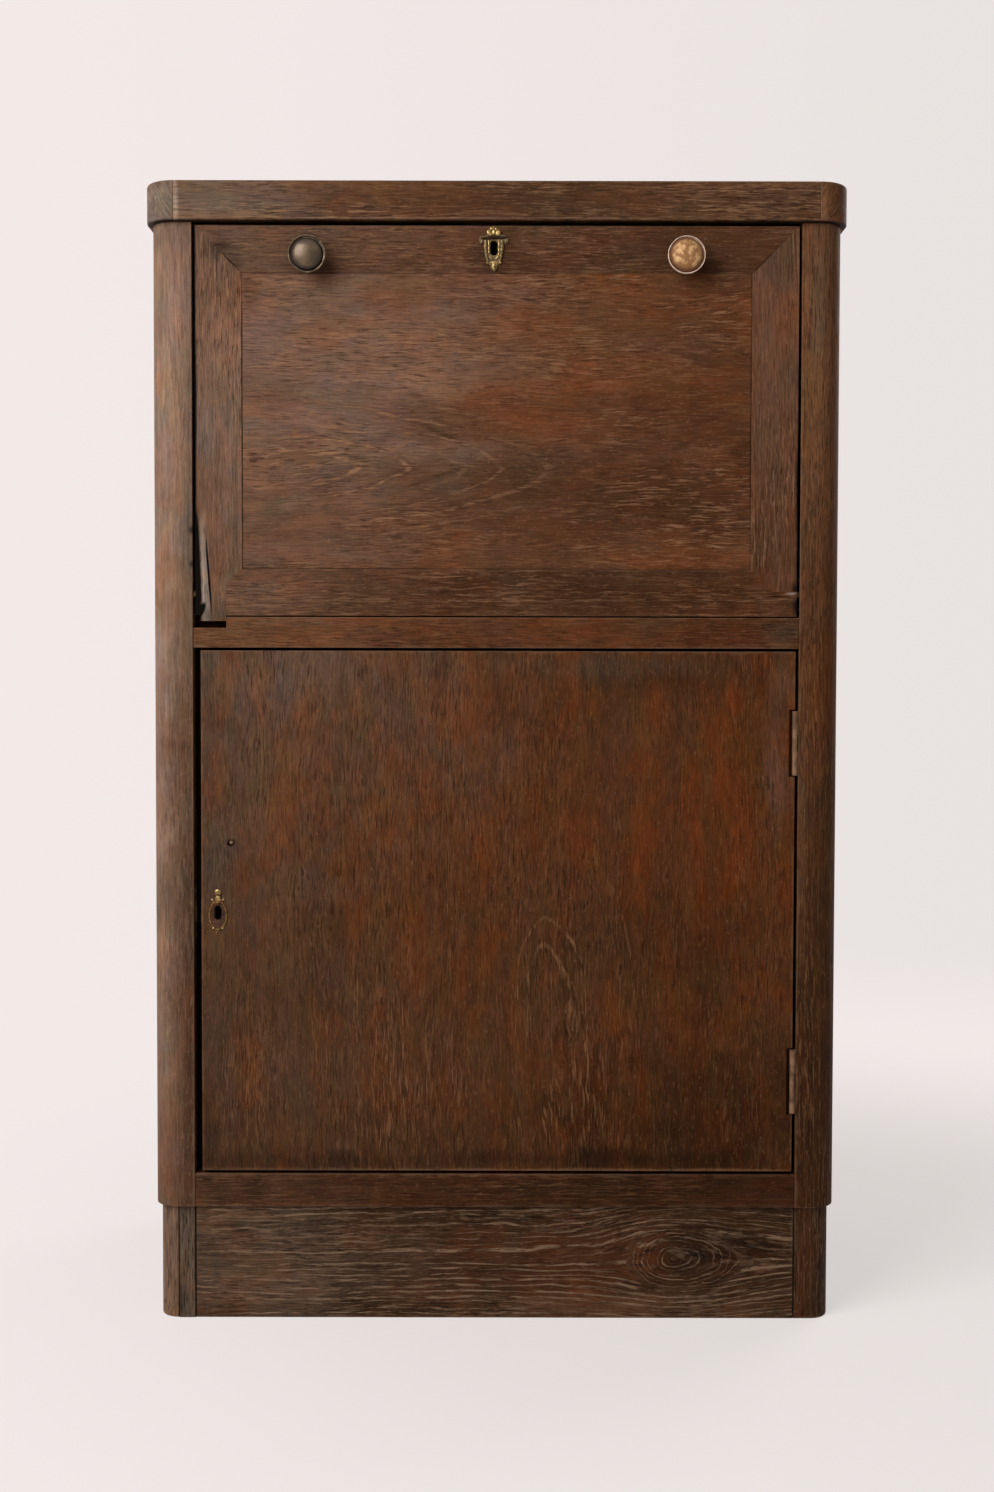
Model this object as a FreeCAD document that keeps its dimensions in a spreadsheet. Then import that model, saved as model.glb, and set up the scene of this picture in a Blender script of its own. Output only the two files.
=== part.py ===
import FreeCAD, Part
import math
import os
import re

import Sketcher

# A floor-standing oak cocktail cabinet: a pivoted fall above, a hinged door below.
# Front faces -Y, +Z is up, the origin is on the floor at the middle of the outline.

SIZES = [
    # carcass
    ("carcass_width", "695"),
    ("carcass_depth", "385"),
    ("plinth_height", "116"),
    ("bottom_rail_height", "34"),
    ("door_opening", "535"),
    ("middle_rail_height", "31"),
    ("flap_opening", "394"),
    ("top_thickness", "40"),
    ("top_overhang", "6"),
    ("post_width", "42"),
    ("post_depth", "45"),
    ("post_round", "25"),
    ("face_inset", "1"),
    ("side_thickness", "20"),
    ("board_thickness", "18"),
    ("back_thickness", "6"),
    ("back_rebate", "10"),
    ("bottom_rail_depth", "30"),
    ("middle_rail_depth", "57"),
    ("housing_depth", "6"),
    ("tongue_depth", "8"),
    ("tongue_thickness", "8"),
    ("tenon_length", "10"),
    ("tenon_thickness", "10"),
    ("tenon_shoulder", "6"),
    ("top_arris", "3"),
    ("under_arris", "2.5"),
    # plinth
    ("plinth_setback", "5"),
    ("plinth_thickness", "22"),
    ("plinth_corner_depth", "42"),
    ("plinth_arris", "2"),
    # inner boards
    ("shelf_thickness", "15"),
    ("upper_shelf_depth", "139"),
    ("upper_shelf_height", "160"),
    ("lower_shelf_depth", "299"),
    ("lower_shelf_height", "270"),
    ("bearer_width", "12"),
    ("bearer_height", "14"),
    ("batten_width", "18"),
    ("flap_stop_size", "18"),
    ("door_stop_width", "12.5"),
    ("door_stop_depth", "18"),
    ("stop_gap", "0.3"),
    # flap
    ("flap_thickness", "20"),
    ("flap_side_gap", "2.7"),
    ("flap_bottom_gap", "1.4"),
    ("flap_top_gap", "3.2"),
    ("flap_band", "47"),
    ("stile_run", "31"),
    ("tab_drop", "5.5"),
    ("tab_inset", "5.5"),
    ("stub_height", "25"),
    ("notch_height", "11"),
    ("notch_depth", "30"),
    # flap pivots
    ("pivot_setback", "7"),
    ("pivot_rise", "22"),
    ("pivot_pin", "8"),
    ("pivot_running", "0.06"),
    ("pivot_reach", "8"),
    ("pivot_room", "0.5"),
    ("pivot_end_gap", "1"),
    ("strap_thickness", "2.5"),
    ("strap_edge", "2"),
    ("strap_length", "58"),
    ("plate_thickness", "3"),
    ("plate_width", "13"),
    ("plate_length", "40"),
    ("heel_gap", "0.3"),
    ("floor_gap", "0.5"),
    ("batten_gap", "32"),
    # door
    ("door_thickness", "20"),
    ("door_left_gap", "7.8"),
    ("door_right_gap", "3.2"),
    ("door_top_gap", "2.8"),
    ("door_bottom_gap", "3.2"),
    ("old_hole_diameter", "6"),
    ("old_hole_depth", "12"),
    ("old_hole_inset", "29.7"),
    ("old_hole_rise", "334.3"),
    # door hinges
    ("hinge_length", "65"),
    ("hinge_inset", "60"),
    ("hinge_barrel", "5.5"),
    ("hinge_pin", "2.8"),
    ("hinge_running", "0.05"),
    ("knuckle_length", "16"),
    ("knuckle_gap", "0.25"),
    ("axis_inset", "0.3"),
    ("leaf_thickness", "2"),
    ("leaf_width", "18"),
    ("barrel_gap", "0.5"),
    ("recess_gap", "2.75"),
    # knobs
    ("knob_diameter", "38"),
    ("knob_reach", "26"),
    ("knob_inset", "114.8"),
    ("knob_drop", "33"),
    ("knob_collar", "22"),
    ("knob_neck", "13"),
    ("knob_rim", "1.7"),
    ("knob_head", "7"),
    ("knob_dish", "2.2"),
    ("knob_dome", "54"),
    ("knob_flare", "17"),
    ("knob_collar_round", "6"),
    ("bolt_diameter", "4"),
    ("bolt_grip", "12"),
    ("bolt_head", "9"),
    ("bolt_head_height", "3"),
    # escutcheons and keyholes
    ("escutcheon_thickness", "1.6"),
    ("flap_plate_width", "29.4"),
    ("flap_plate_height", "45.4"),
    ("flap_plate_shift", "-3"),
    ("flap_plate_drop", "0.4"),
    ("door_plate_width", "19.4"),
    ("door_plate_height", "47"),
    ("door_plate_inset", "16.7"),
    ("door_plate_rise", "240.3"),
    ("keyhole_width", "7.4"),
    ("keyhole_height", "15"),
    ("flap_key_rise", "23.3"),
    ("door_key_rise", "23.2"),
    # locks
    ("lock_depth", "12"),
    ("flap_lock_width", "70"),
    ("flap_lock_height", "38"),
    ("door_lock_width", "38"),
    ("door_lock_height", "60"),
    ("lock_bolt_width", "22"),
    ("lock_bolt_thickness", "8"),
    ("lock_bolt_length", "28"),
    ("lock_bolt_gap", "0.25"),
    ("door_bolt_rest", "2"),
    ("lock_wall", "2"),
    ("strike_thickness", "1.5"),
    ("strike_length", "54"),
    ("strike_width", "15"),
    ("strike_room", "12"),
]

doc = FreeCAD.newDocument("CocktailCabinet")
sheet = doc.addObject("Spreadsheet::Sheet", "Sizes")
for row, (alias, value) in enumerate(SIZES, start=1):
    sheet.set(f"A{row}", alias)
    sheet.set(f"B{row}", value)
    sheet.setAlias(f"B{row}", alias)
doc.recompute()

ALIASES = {alias for alias, value in SIZES}
NODES = {}


def bound(text):
    """Write each size's name in an expression as a reference to its cell."""
    return re.sub(r"[a-z_]+", lambda word: "Sizes." + word[0] if word[0] in ALIASES else word[0], str(text))


def number(text):
    """Give the value that an expression has now."""
    return float(sheet.evalExpression(bound(text)))


def bind(thing, prop, text):
    """Tie a property to an expression of the sheet's sizes."""
    thing.setExpression(prop, bound(text))


def keep(name, thing):
    """Name a finished piece."""
    thing.Label = name
    NODES[name] = thing
    return thing


def mid(low, high):
    """Write the middle of two places."""
    return f"(({low}) + ({high})) / 2"


def span(sign, near, far):
    """Write a stretch of X on the right side, or its mirror image on the left."""
    if sign > 0:
        return (near, far)
    return (f"-({far})", f"-({near})")


def around(middle, size):
    """Write a stretch of a given size about its middle."""
    return (f"({middle}) - ({size}) / 2", f"({middle}) + ({size}) / 2")


def block(name, x, y, z):
    """Make a square-edged piece from its stretches in X, Y and Z."""
    box = doc.addObject("Part::Box", name)
    for size, axis, (low, high) in (("Length", "x", x), ("Width", "y", y), ("Height", "z", z)):
        bind(box, size, f"({high}) - ({low})")
        bind(box, f"Placement.Base.{axis}", low)
    return box


ROD_TURNS = {
    "X": FreeCAD.Rotation(FreeCAD.Vector(0, 1, 0), 90),
    "Y": FreeCAD.Rotation(FreeCAD.Vector(1, 0, 0), -90),
    "Z": FreeCAD.Rotation(),
}


def rod(name, axis, start, radius, length):
    """Make a round rod that runs along an axis from its start."""
    cylinder = doc.addObject("Part::Cylinder", name)
    cylinder.Placement = FreeCAD.Placement(FreeCAD.Vector(), ROD_TURNS[axis])
    bind(cylinder, "Radius", radius)
    bind(cylinder, "Height", length)
    for letter, place in zip("xyz", start):
        bind(cylinder, f"Placement.Base.{letter}", place)
    return cylinder


def cut(name, base, *tools):
    """Take the tools away from a base, one after another."""
    for step, tool in enumerate(tools):
        result = doc.addObject("Part::Cut", f"{name}_cut_{step}")
        result.Base = base
        result.Tool = tool
        base = result
    return base


def fuse(name, *pieces):
    """Join pieces into one solid."""
    result = doc.addObject("Part::MultiFuse", f"{name}_fuse")
    result.Shapes = list(pieces)
    result.Refine = True
    return result


def bulge_middle(start, end, radius, side):
    """Find the middle of the arc of a radius from start to end, on the right of the way for side 1."""
    chord = end.sub(start)
    half = chord.Length / 2
    rise = radius - math.sqrt(max(radius**2 - half**2, 0.0))
    right = FreeCAD.Vector(chord.y, -chord.x, 0).normalize()
    return (start + end) * 0.5 + right * (rise * side)


def draw(body, plane, points, arcs):
    """Draw a closed outline on one of a body's own planes, each corner tied to the sheet.

    arcs gives, for the line that leaves a corner, a radius and the side it bulges to.
    """
    role = f"{plane}_Plane"
    sketch = body.newObject("Sketcher::SketchObject", f"{body.Name}_outline")
    sketch.AttachmentSupport = [(next(f for f in body.Origin.OriginFeatures if f.Role == role), "")]
    sketch.MapMode = "FlatFace"
    corners = [FreeCAD.Vector(number(u), number(v), 0) for u, v in points]
    count = len(corners)
    starts = []
    for index, corner in enumerate(corners):
        after = corners[(index + 1) % count]
        if index in arcs:
            radius, side = arcs[index]
            middle = bulge_middle(corner, after, number(radius), side)
            line = sketch.addGeometry(Part.Arc(corner, middle, after), False)
        else:
            line = sketch.addGeometry(Part.LineSegment(corner, after), False)
        starts.append(1 if sketch.getPoint(line, 1).distanceToPoint(corner) < 1e-6 else 2)
    for index in range(count):
        after = (index + 1) % count
        sketch.addConstraint(
            Sketcher.Constraint("Coincident", index, 3 - starts[index], after, starts[after])
        )
    for index, (u, v) in enumerate(points):
        for kind, place, value in (("DistanceX", u, corners[index].x), ("DistanceY", v, corners[index].y)):
            tie = sketch.addConstraint(Sketcher.Constraint(kind, -1, 1, index, starts[index], value))
            sketch.setExpression(f"Constraints[{tie}]", bound(place))
    for index, (radius, side) in arcs.items():
        tie = sketch.addConstraint(Sketcher.Constraint("Radius", index, number(radius)))
        sketch.setExpression(f"Constraints[{tie}]", bound(radius))
    return sketch


PAD_AXES = {"XY": "z", "XZ": "y", "YZ": "x"}


def board(name, plane, points, start, depth, arcs=None):
    """Pad an outline on a plane from a start to a depth along the third axis."""
    body = doc.addObject("PartDesign::Body", f"{name}_body")
    sketch = draw(body, plane, points, arcs or {})
    pad = body.newObject("PartDesign::Pad", f"{name}_pad")
    pad.Profile = sketch
    bind(pad, "Length", depth)
    if plane == "XZ":
        start = f"({start}) + ({depth})"
    bind(body, f"Placement.Base.{PAD_AXES[plane]}", start)
    return body


def turned(name, points, arcs, place):
    """Turn an outline of radius and reach about the Y axis through a place."""
    body = doc.addObject("PartDesign::Body", f"{name}_body")
    sketch = draw(body, "XY", points, arcs)
    turn = body.newObject("PartDesign::Revolution", f"{name}_turn")
    turn.Profile = sketch
    turn.ReferenceAxis = (sketch, ["V_Axis"])
    turn.Angle = 360
    for letter, text in zip("xyz", place):
        bind(body, f"Placement.Base.{letter}", text)
    return body


def ease(body, radius, pick):
    """Round the edges of a body that pick chooses."""
    doc.recompute()
    tip = body.Tip
    names = [f"Edge{index}" for index, edge in enumerate(tip.Shape.Edges, start=1) if pick(edge)]
    fillet = body.newObject("PartDesign::Fillet", f"{tip.Name}_ease")
    fillet.Base = (tip, names)
    bind(fillet, "Radius", radius)
    return body


def lies(edge, axis, text):
    """Tell whether a whole edge lies at one place on an axis."""
    box = edge.BoundBox
    low = getattr(box, f"{axis}Min")
    high = getattr(box, f"{axis}Max")
    place = number(text)
    return abs(low - place) < 1e-3 and abs(high - place) < 1e-3


def on_corner(edge, centre_x, centre_y, radius):
    """Tell whether an edge is an arc about an upright line."""
    curve = edge.Curve
    if not isinstance(curve, Part.Circle):
        return False
    apart = math.hypot(curve.Center.x - number(centre_x), curve.Center.y - number(centre_y))
    return apart < 1e-3 and abs(curve.Radius - number(radius)) < 1e-3


def mirrored(sign, points, arcs):
    """Give an outline as drawn for the right side, or its mirror image for the left."""
    if sign > 0:
        return points, arcs
    count = len(points)
    flipped = [(f"-({u})", v) for u, v in reversed(points)]
    return flipped, {(count - 2 - index) % count: arc for index, arc in arcs.items()}


SIDES = (("left", -1), ("right", 1))

# Levels and planes that the pieces share.
HALF = "(carcass_width / 2)"
POST_IN = "(carcass_width / 2 - post_width)"
SIDE_IN = "(carcass_width / 2 - side_thickness)"
CORNER = "(carcass_width / 2 - post_round)"
FRONT = "((knob_reach - face_inset - carcass_depth) / 2)"
FACE = f"({FRONT} + face_inset)"
BACK = f"({FRONT} + carcass_depth)"
INNER_BACK = f"({BACK} - back_thickness)"
POST_BACK = f"({FRONT} + post_depth)"
Z_CARCASS = "plinth_height"
Z_DOOR = f"({Z_CARCASS} + bottom_rail_height)"
Z_RAIL = f"({Z_DOOR} + door_opening)"
Z_FLAP = f"({Z_RAIL} + middle_rail_height)"
Z_TOP = f"({Z_FLAP} + flap_opening)"
Z_ALL = f"({Z_TOP} + top_thickness)"

# Top: a core board lipped all round but the back, with quarter-round corner blocks.
TOP_ROUND = "(post_round + top_overhang)"
TOP_FRONT = f"({FRONT} - top_overhang)"
TOP_LIP = f"({TOP_FRONT} + {TOP_ROUND})"
TOP_HALF = f"({CORNER} + {TOP_ROUND})"
keep("top_core", block("top_core_box", (f"-{CORNER}", CORNER), (TOP_LIP, BACK), (Z_TOP, Z_ALL)))

front_lip = board(
    "top_front_lipping",
    "XY",
    [(f"-{CORNER}", TOP_FRONT), (CORNER, TOP_FRONT), (CORNER, TOP_LIP), (f"-{CORNER}", TOP_LIP)],
    Z_TOP,
    "top_thickness",
)
ease(front_lip, "top_arris", lambda e: lies(e, "Y", TOP_FRONT) and lies(e, "Z", "top_thickness"))
ease(front_lip, "under_arris", lambda e: lies(e, "Y", TOP_FRONT) and lies(e, "Z", "0"))

for side, sign in SIDES:
    name = f"top_corner_{side}"
    outline = [(CORNER, TOP_FRONT), (TOP_HALF, TOP_LIP), (CORNER, TOP_LIP)]
    points, arcs = mirrored(sign, outline, {0: (TOP_ROUND, 1)})
    corner = board(name, "XY", points, Z_TOP, "top_thickness", arcs)
    middle = f"{sign} * {CORNER}"
    for level, arris in (("top_thickness", "top_arris"), ("0", "under_arris")):
        ease(corner, arris, lambda e: lies(e, "Z", level) and on_corner(e, middle, TOP_LIP, TOP_ROUND))
    keep(name, corner)

    name = f"top_side_lipping_{side}"
    outline = [(CORNER, TOP_LIP), (TOP_HALF, TOP_LIP), (TOP_HALF, BACK), (CORNER, BACK)]
    points, arcs = mirrored(sign, outline, {})
    lipping = board(name, "XY", points, Z_TOP, "top_thickness")
    outer = f"{sign} * {TOP_HALF}"
    for level, arris in (("top_thickness", "top_arris"), ("0", "under_arris")):
        ease(lipping, arris, lambda e: lies(e, "X", outer) and lies(e, "Z", level))
    keep(name, lipping)

# Rails between the posts, with stub tenons.
RAIL_BACK = f"({FACE} + bottom_rail_depth)"
MID_BACK = f"({FACE} + middle_rail_depth)"


def rail(name, low, high, back):
    """Make a front rail with a stub tenon at each end."""
    tenon = (f"-({POST_IN} + tenon_length)", f"{POST_IN} + tenon_length")
    body = block(f"{name}_bar", (f"-{POST_IN}", POST_IN), (FACE, back), (low, high))
    tongue = block(
        f"{name}_tenon",
        tenon,
        (f"{FACE} + tenon_shoulder", f"{FACE} + tenon_shoulder + tenon_thickness"),
        (f"{low} + tenon_shoulder", f"{high} - tenon_shoulder"),
    )
    return fuse(name, body, tongue)


bottom_rail = keep("bottom_rail", rail("bottom_rail", Z_CARCASS, Z_DOOR, RAIL_BACK))
middle_rail_bar = rail("middle_rail", Z_RAIL, Z_FLAP, MID_BACK)

# Flap: its outline, its pivot and the levels that follow from them.
FLAP_HALF = f"({POST_IN} - flap_side_gap)"
FLAP_LOW = f"({Z_FLAP} + flap_bottom_gap)"
FLAP_HIGH = f"({Z_TOP} - flap_top_gap)"
FLAP_BACK = f"({FACE} + flap_thickness)"
PIVOT_Y = f"({FACE} + pivot_setback)"
PIVOT_Z = f"({FLAP_LOW} + pivot_rise)"
HEEL_TOP = f"({PIVOT_Z} + flap_thickness - pivot_setback + heel_gap)"
FLOOR_FRONT = f"({FLAP_BACK} + floor_gap)"
FLOOR_TOP = f"({HEEL_TOP} + board_thickness)"
BATTEN_FRONT = f"({PIVOT_Y} + batten_gap)"

notch = block(
    "middle_rail_notch",
    (f"-{POST_IN}", f"-({FLAP_HALF} - stile_run)"),
    (FACE, f"{FACE} + notch_depth"),
    (f"{Z_FLAP} - notch_height", Z_FLAP),
)
middle_rail = keep("middle_rail", cut("middle_rail", middle_rail_bar, notch))

# Boards housed in the sides and notched round the posts.


def housed(name, front, low):
    """Make a board that fills the carcass behind a front line."""
    reach = f"({SIDE_IN} + housing_depth)"
    right = [(POST_IN, front), (POST_IN, POST_BACK), (reach, POST_BACK), (reach, INNER_BACK)]
    left = [(f"-{u}", v) for u, v in reversed(right)]
    return board(name, "XY", right + left, low, "board_thickness")


bottom_board = keep("bottom_board", housed("bottom_board", RAIL_BACK, f"{Z_DOOR} - board_thickness"))
floor_board = keep("floor_board", housed("floor_board", FLOOR_FRONT, HEEL_TOP))
keep(
    "floor_batten",
    block(
        "floor_batten_box",
        (f"-{POST_IN}", POST_IN),
        (BATTEN_FRONT, f"{BATTEN_FRONT} + batten_width"),
        (Z_FLAP, HEEL_TOP),
    ),
)

# Sides tongued into the posts, rebated for the back.
sides = {}
for side, sign in SIDES:
    name = f"side_{side}"
    tongue_in, tongue_out = around(mid(SIDE_IN, HALF), "tongue_thickness")
    rebate = f"({SIDE_IN} + back_rebate)"
    outline = [
        (SIDE_IN, POST_BACK),
        (tongue_in, POST_BACK),
        (tongue_in, f"{POST_BACK} - tongue_depth"),
        (tongue_out, f"{POST_BACK} - tongue_depth"),
        (tongue_out, POST_BACK),
        (HALF, POST_BACK),
        (HALF, BACK),
        (rebate, BACK),
        (rebate, INNER_BACK),
        (SIDE_IN, INNER_BACK),
    ]
    points, arcs = mirrored(sign, outline, {})
    panel = board(name, "XY", points, Z_CARCASS, f"{Z_TOP} - {Z_CARCASS}")
    sides[side] = keep(name, cut(name, panel, bottom_board, floor_board))

keep(
    "back_panel",
    block(
        "back_panel_box",
        (f"-({SIDE_IN} + back_rebate)", f"{SIDE_IN} + back_rebate"),
        (INNER_BACK, BACK),
        (Z_CARCASS, Z_TOP),
    ),
)

# Brass plates let into the posts, in which the flap's pins turn.
plates = {}
for side, sign in SIDES:
    name = f"pivot_plate_{side}"
    plate = block(
        f"{name}_box",
        span(sign, POST_IN, f"{POST_IN} + plate_thickness"),
        around(PIVOT_Y, "plate_width"),
        around(PIVOT_Z, "plate_length"),
    )
    bore = rod(
        f"{name}_bore",
        "X",
        (span(sign, POST_IN, f"{POST_IN} + plate_thickness")[0], PIVOT_Y, PIVOT_Z),
        "pivot_pin / 2 + pivot_running",
        "plate_thickness",
    )
    plates[side] = (plate, keep(name, cut(name, plate, bore)))

# Door: its outline, and the lock at its left edge.
DOOR_LEFT = f"(-{POST_IN} + door_left_gap)"
DOOR_RIGHT = f"({POST_IN} - door_right_gap)"
DOOR_LOW = f"({Z_DOOR} + door_bottom_gap)"
DOOR_HIGH = f"({Z_RAIL} - door_top_gap)"
DOOR_BACK = f"({FACE} + door_thickness)"
DOOR_KEY_X = f"({DOOR_LEFT} + door_plate_inset)"
DOOR_PLATE_LOW = f"({DOOR_LOW} + door_plate_rise)"
DOOR_KEY_Z = f"({DOOR_PLATE_LOW} + door_key_rise)"
BOLT_Y = f"({DOOR_BACK} - lock_depth / 2)"

STRIKE_SLOT = "lock_bolt_width + 2 * lock_bolt_gap"
STRIKE_GAP = "lock_bolt_thickness + 2 * lock_bolt_gap"
door_strike_plate = block(
    "door_strike_box",
    span(-1, POST_IN, f"{POST_IN} + strike_thickness"),
    around(BOLT_Y, "strike_width"),
    around(DOOR_KEY_Z, "strike_length"),
)
door_strike_mortise = block(
    "door_strike_mortise",
    span(-1, POST_IN, f"{POST_IN} + strike_room"),
    around(BOLT_Y, STRIKE_GAP),
    around(DOOR_KEY_Z, STRIKE_SLOT),
)
keep("door_strike", cut("door_strike", door_strike_plate, door_strike_mortise))

# Corner posts, rounded at the outside.
for side, sign in SIDES:
    name = f"front_post_{side}"
    outline = [
        (POST_IN, FRONT),
        (CORNER, FRONT),
        (HALF, f"{FRONT} + post_round"),
        (HALF, POST_BACK),
        (POST_IN, POST_BACK),
    ]
    points, arcs = mirrored(sign, outline, {1: ("post_round", 1)})
    post = board(name, "XY", points, Z_CARCASS, f"{Z_TOP} - {Z_CARCASS}", arcs)
    pin_room = rod(
        f"{name}_pin_room",
        "X",
        (span(sign, POST_IN, f"{POST_IN} + plate_thickness + pivot_reach")[0], PIVOT_Y, PIVOT_Z),
        "pivot_pin / 2 + pivot_room",
        "plate_thickness + pivot_reach",
    )
    tools = [sides[side], bottom_rail, middle_rail_bar, plates[side][0], pin_room]
    if side == "left":
        tools += [door_strike_plate, door_strike_mortise]
    keep(name, cut(name, post, *tools))

# Shelves on bearers.


def shelf(name, depth, low):
    """Make a shelf at the back with a bearer under each end."""
    front = f"{INNER_BACK} - {depth}"
    keep(
        name,
        block(
            f"{name}_box",
            (f"-{SIDE_IN}", SIDE_IN),
            (front, INNER_BACK),
            (low, f"{low} + shelf_thickness"),
        ),
    )
    for side, sign in SIDES:
        keep(
            f"{name}_bearer_{side}",
            block(
                f"{name}_bearer_{side}_box",
                span(sign, f"{SIDE_IN} - bearer_width", SIDE_IN),
                (front, INNER_BACK),
                (f"{low} - bearer_height", low),
            ),
        )


shelf("upper_shelf", "upper_shelf_depth", f"{FLOOR_TOP} + upper_shelf_height")
shelf("lower_shelf", "lower_shelf_depth", f"{Z_DOOR} + lower_shelf_height")

# Stops behind the flap's top edge and behind the door's free edge.
keep(
    "flap_stop",
    block(
        "flap_stop_box",
        (f"-{POST_IN}", POST_IN),
        (f"{FLAP_BACK} + stop_gap", f"{FLAP_BACK} + stop_gap + flap_stop_size"),
        (f"{Z_TOP} - flap_stop_size", Z_TOP),
    ),
)
keep(
    "door_stop",
    block(
        "door_stop_box",
        span(-1, f"{POST_IN} - door_stop_width", POST_IN),
        (f"{DOOR_BACK} + stop_gap", f"{DOOR_BACK} + stop_gap + door_stop_depth"),
        (Z_DOOR, Z_RAIL),
    ),
)

# Plinth, set back under the carcass, its round corners about the same centres as the posts.
PLINTH_ROUND = "(post_round - plinth_setback)"
PLINTH_HALF = f"({CORNER} + {PLINTH_ROUND})"
PLINTH_FRONT = f"({FRONT} + plinth_setback)"
PLINTH_BACK = f"({PLINTH_FRONT} + plinth_corner_depth)"
PLINTH_CENTRE = f"({PLINTH_FRONT} + {PLINTH_ROUND})"

plinth_front = board(
    "plinth_front",
    "XY",
    [
        (f"-{POST_IN}", PLINTH_FRONT),
        (POST_IN, PLINTH_FRONT),
        (POST_IN, f"{PLINTH_FRONT} + plinth_thickness"),
        (f"-{POST_IN}", f"{PLINTH_FRONT} + plinth_thickness"),
    ],
    "0",
    "plinth_height",
)
ease(plinth_front, "plinth_arris", lambda e: lies(e, "Y", PLINTH_FRONT) and lies(e, "Z", "0"))
keep("plinth_front", plinth_front)

corner_outlines = {
    "left": (
        [
            (CORNER, PLINTH_FRONT),
            (PLINTH_HALF, PLINTH_CENTRE),
            (PLINTH_HALF, PLINTH_BACK),
            (CORNER, PLINTH_BACK),
        ],
        {0: (PLINTH_ROUND, 1)},
    ),
    "right": (
        [
            (POST_IN, PLINTH_FRONT),
            (CORNER, PLINTH_FRONT),
            (PLINTH_HALF, PLINTH_CENTRE),
            (PLINTH_HALF, PLINTH_BACK),
            (POST_IN, PLINTH_BACK),
        ],
        {1: (PLINTH_ROUND, 1)},
    ),
}
for side, sign in SIDES:
    name = f"plinth_corner_{side}"
    points, arcs = mirrored(sign, *corner_outlines[side])
    corner = board(name, "XY", points, "0", "plinth_height", arcs)
    middle = f"{sign} * {CORNER}"
    ease(
        corner,
        "plinth_arris",
        lambda e: lies(e, "Z", "0")
        and (on_corner(e, middle, PLINTH_CENTRE, PLINTH_ROUND) or lies(e, "Y", PLINTH_FRONT)),
    )
    keep(name, corner)
    keep(
        f"plinth_side_{side}",
        block(
            f"plinth_side_{side}_box",
            span(sign, f"{PLINTH_HALF} - plinth_thickness", PLINTH_HALF),
            (PLINTH_BACK, BACK),
            ("0", "plinth_height"),
        ),
    )
keep(
    "plinth_filler_left",
    block(
        "plinth_filler_left_box",
        span(-1, POST_IN, CORNER),
        (PLINTH_FRONT, PLINTH_BACK),
        ("0", "plinth_height"),
    ),
)
keep(
    "plinth_back",
    block(
        "plinth_back_box",
        (f"-({PLINTH_HALF} - plinth_thickness)", f"{PLINTH_HALF} - plinth_thickness"),
        (f"{BACK} - plinth_thickness", BACK),
        ("0", "plinth_height"),
    ),
)

# Flap panel, tongued all round into its four bands.
PANEL_HALF = f"({FLAP_HALF} - flap_band)"
PANEL_LOW = f"({FLAP_LOW} + flap_band)"
PANEL_HIGH = f"({FLAP_HIGH} - flap_band)"
flap_field = block(
    "flap_panel_field",
    (f"-{PANEL_HALF}", PANEL_HALF),
    (FACE, FLAP_BACK),
    (PANEL_LOW, PANEL_HIGH),
)
flap_tongue = block(
    "flap_panel_tongue",
    (f"-({PANEL_HALF} + tongue_depth)", f"{PANEL_HALF} + tongue_depth"),
    around(mid(FACE, FLAP_BACK), "tongue_thickness"),
    (f"{PANEL_LOW} - tongue_depth", f"{PANEL_HIGH} + tongue_depth"),
)
flap_panel = keep("flap_panel", fuse("flap_panel", flap_field, flap_tongue))

# Straps let into the flap's ends, each with its pin.
straps = {}
for side, sign in SIDES:
    name = f"pivot_strap_{side}"
    leaf = block(
        f"{name}_leaf",
        span(sign, f"{FLAP_HALF} - strap_thickness", FLAP_HALF),
        (f"{FACE} + strap_edge", f"{FLAP_BACK} - strap_edge"),
        (f"{FLAP_LOW} + strap_edge", f"{FLAP_LOW} + strap_edge + strap_length"),
    )
    pin_length = "flap_side_gap + plate_thickness + pivot_reach - pivot_end_gap"
    pin = rod(
        f"{name}_pin",
        "X",
        (span(sign, f"{FLAP_HALF} - strap_thickness", f"{FLAP_HALF} + {pin_length}")[0], PIVOT_Y, PIVOT_Z),
        "pivot_pin / 2",
        f"strap_thickness + {pin_length}",
    )
    straps[side] = (leaf, keep(name, fuse(name, leaf, pin)))

# Knob bolts, flap lock and keyhole, which the top band is cut for.
KNOB_X = f"({FLAP_HALF} - knob_inset)"
KNOB_Z = f"({FLAP_HIGH} - knob_drop)"
bolts = {}
for side, sign in SIDES:
    name = f"knob_bolt_{side}"
    knob_x = f"{sign} * {KNOB_X}"
    shank = rod(
        f"{name}_shank",
        "Y",
        (knob_x, f"{FACE} - bolt_grip", KNOB_Z),
        "bolt_diameter / 2",
        "bolt_grip + flap_thickness",
    )
    head = rod(f"{name}_head", "Y", (knob_x, FLAP_BACK, KNOB_Z), "bolt_head / 2", "bolt_head_height")
    bolts[side] = (shank, keep(name, fuse(name, shank, head)))

FLAP_KEY_X = "flap_plate_shift"
FLAP_PLATE_LOW = f"({FLAP_HIGH} - flap_plate_drop - flap_plate_height)"
FLAP_KEY_Z = f"({FLAP_PLATE_LOW} + flap_key_rise)"


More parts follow.
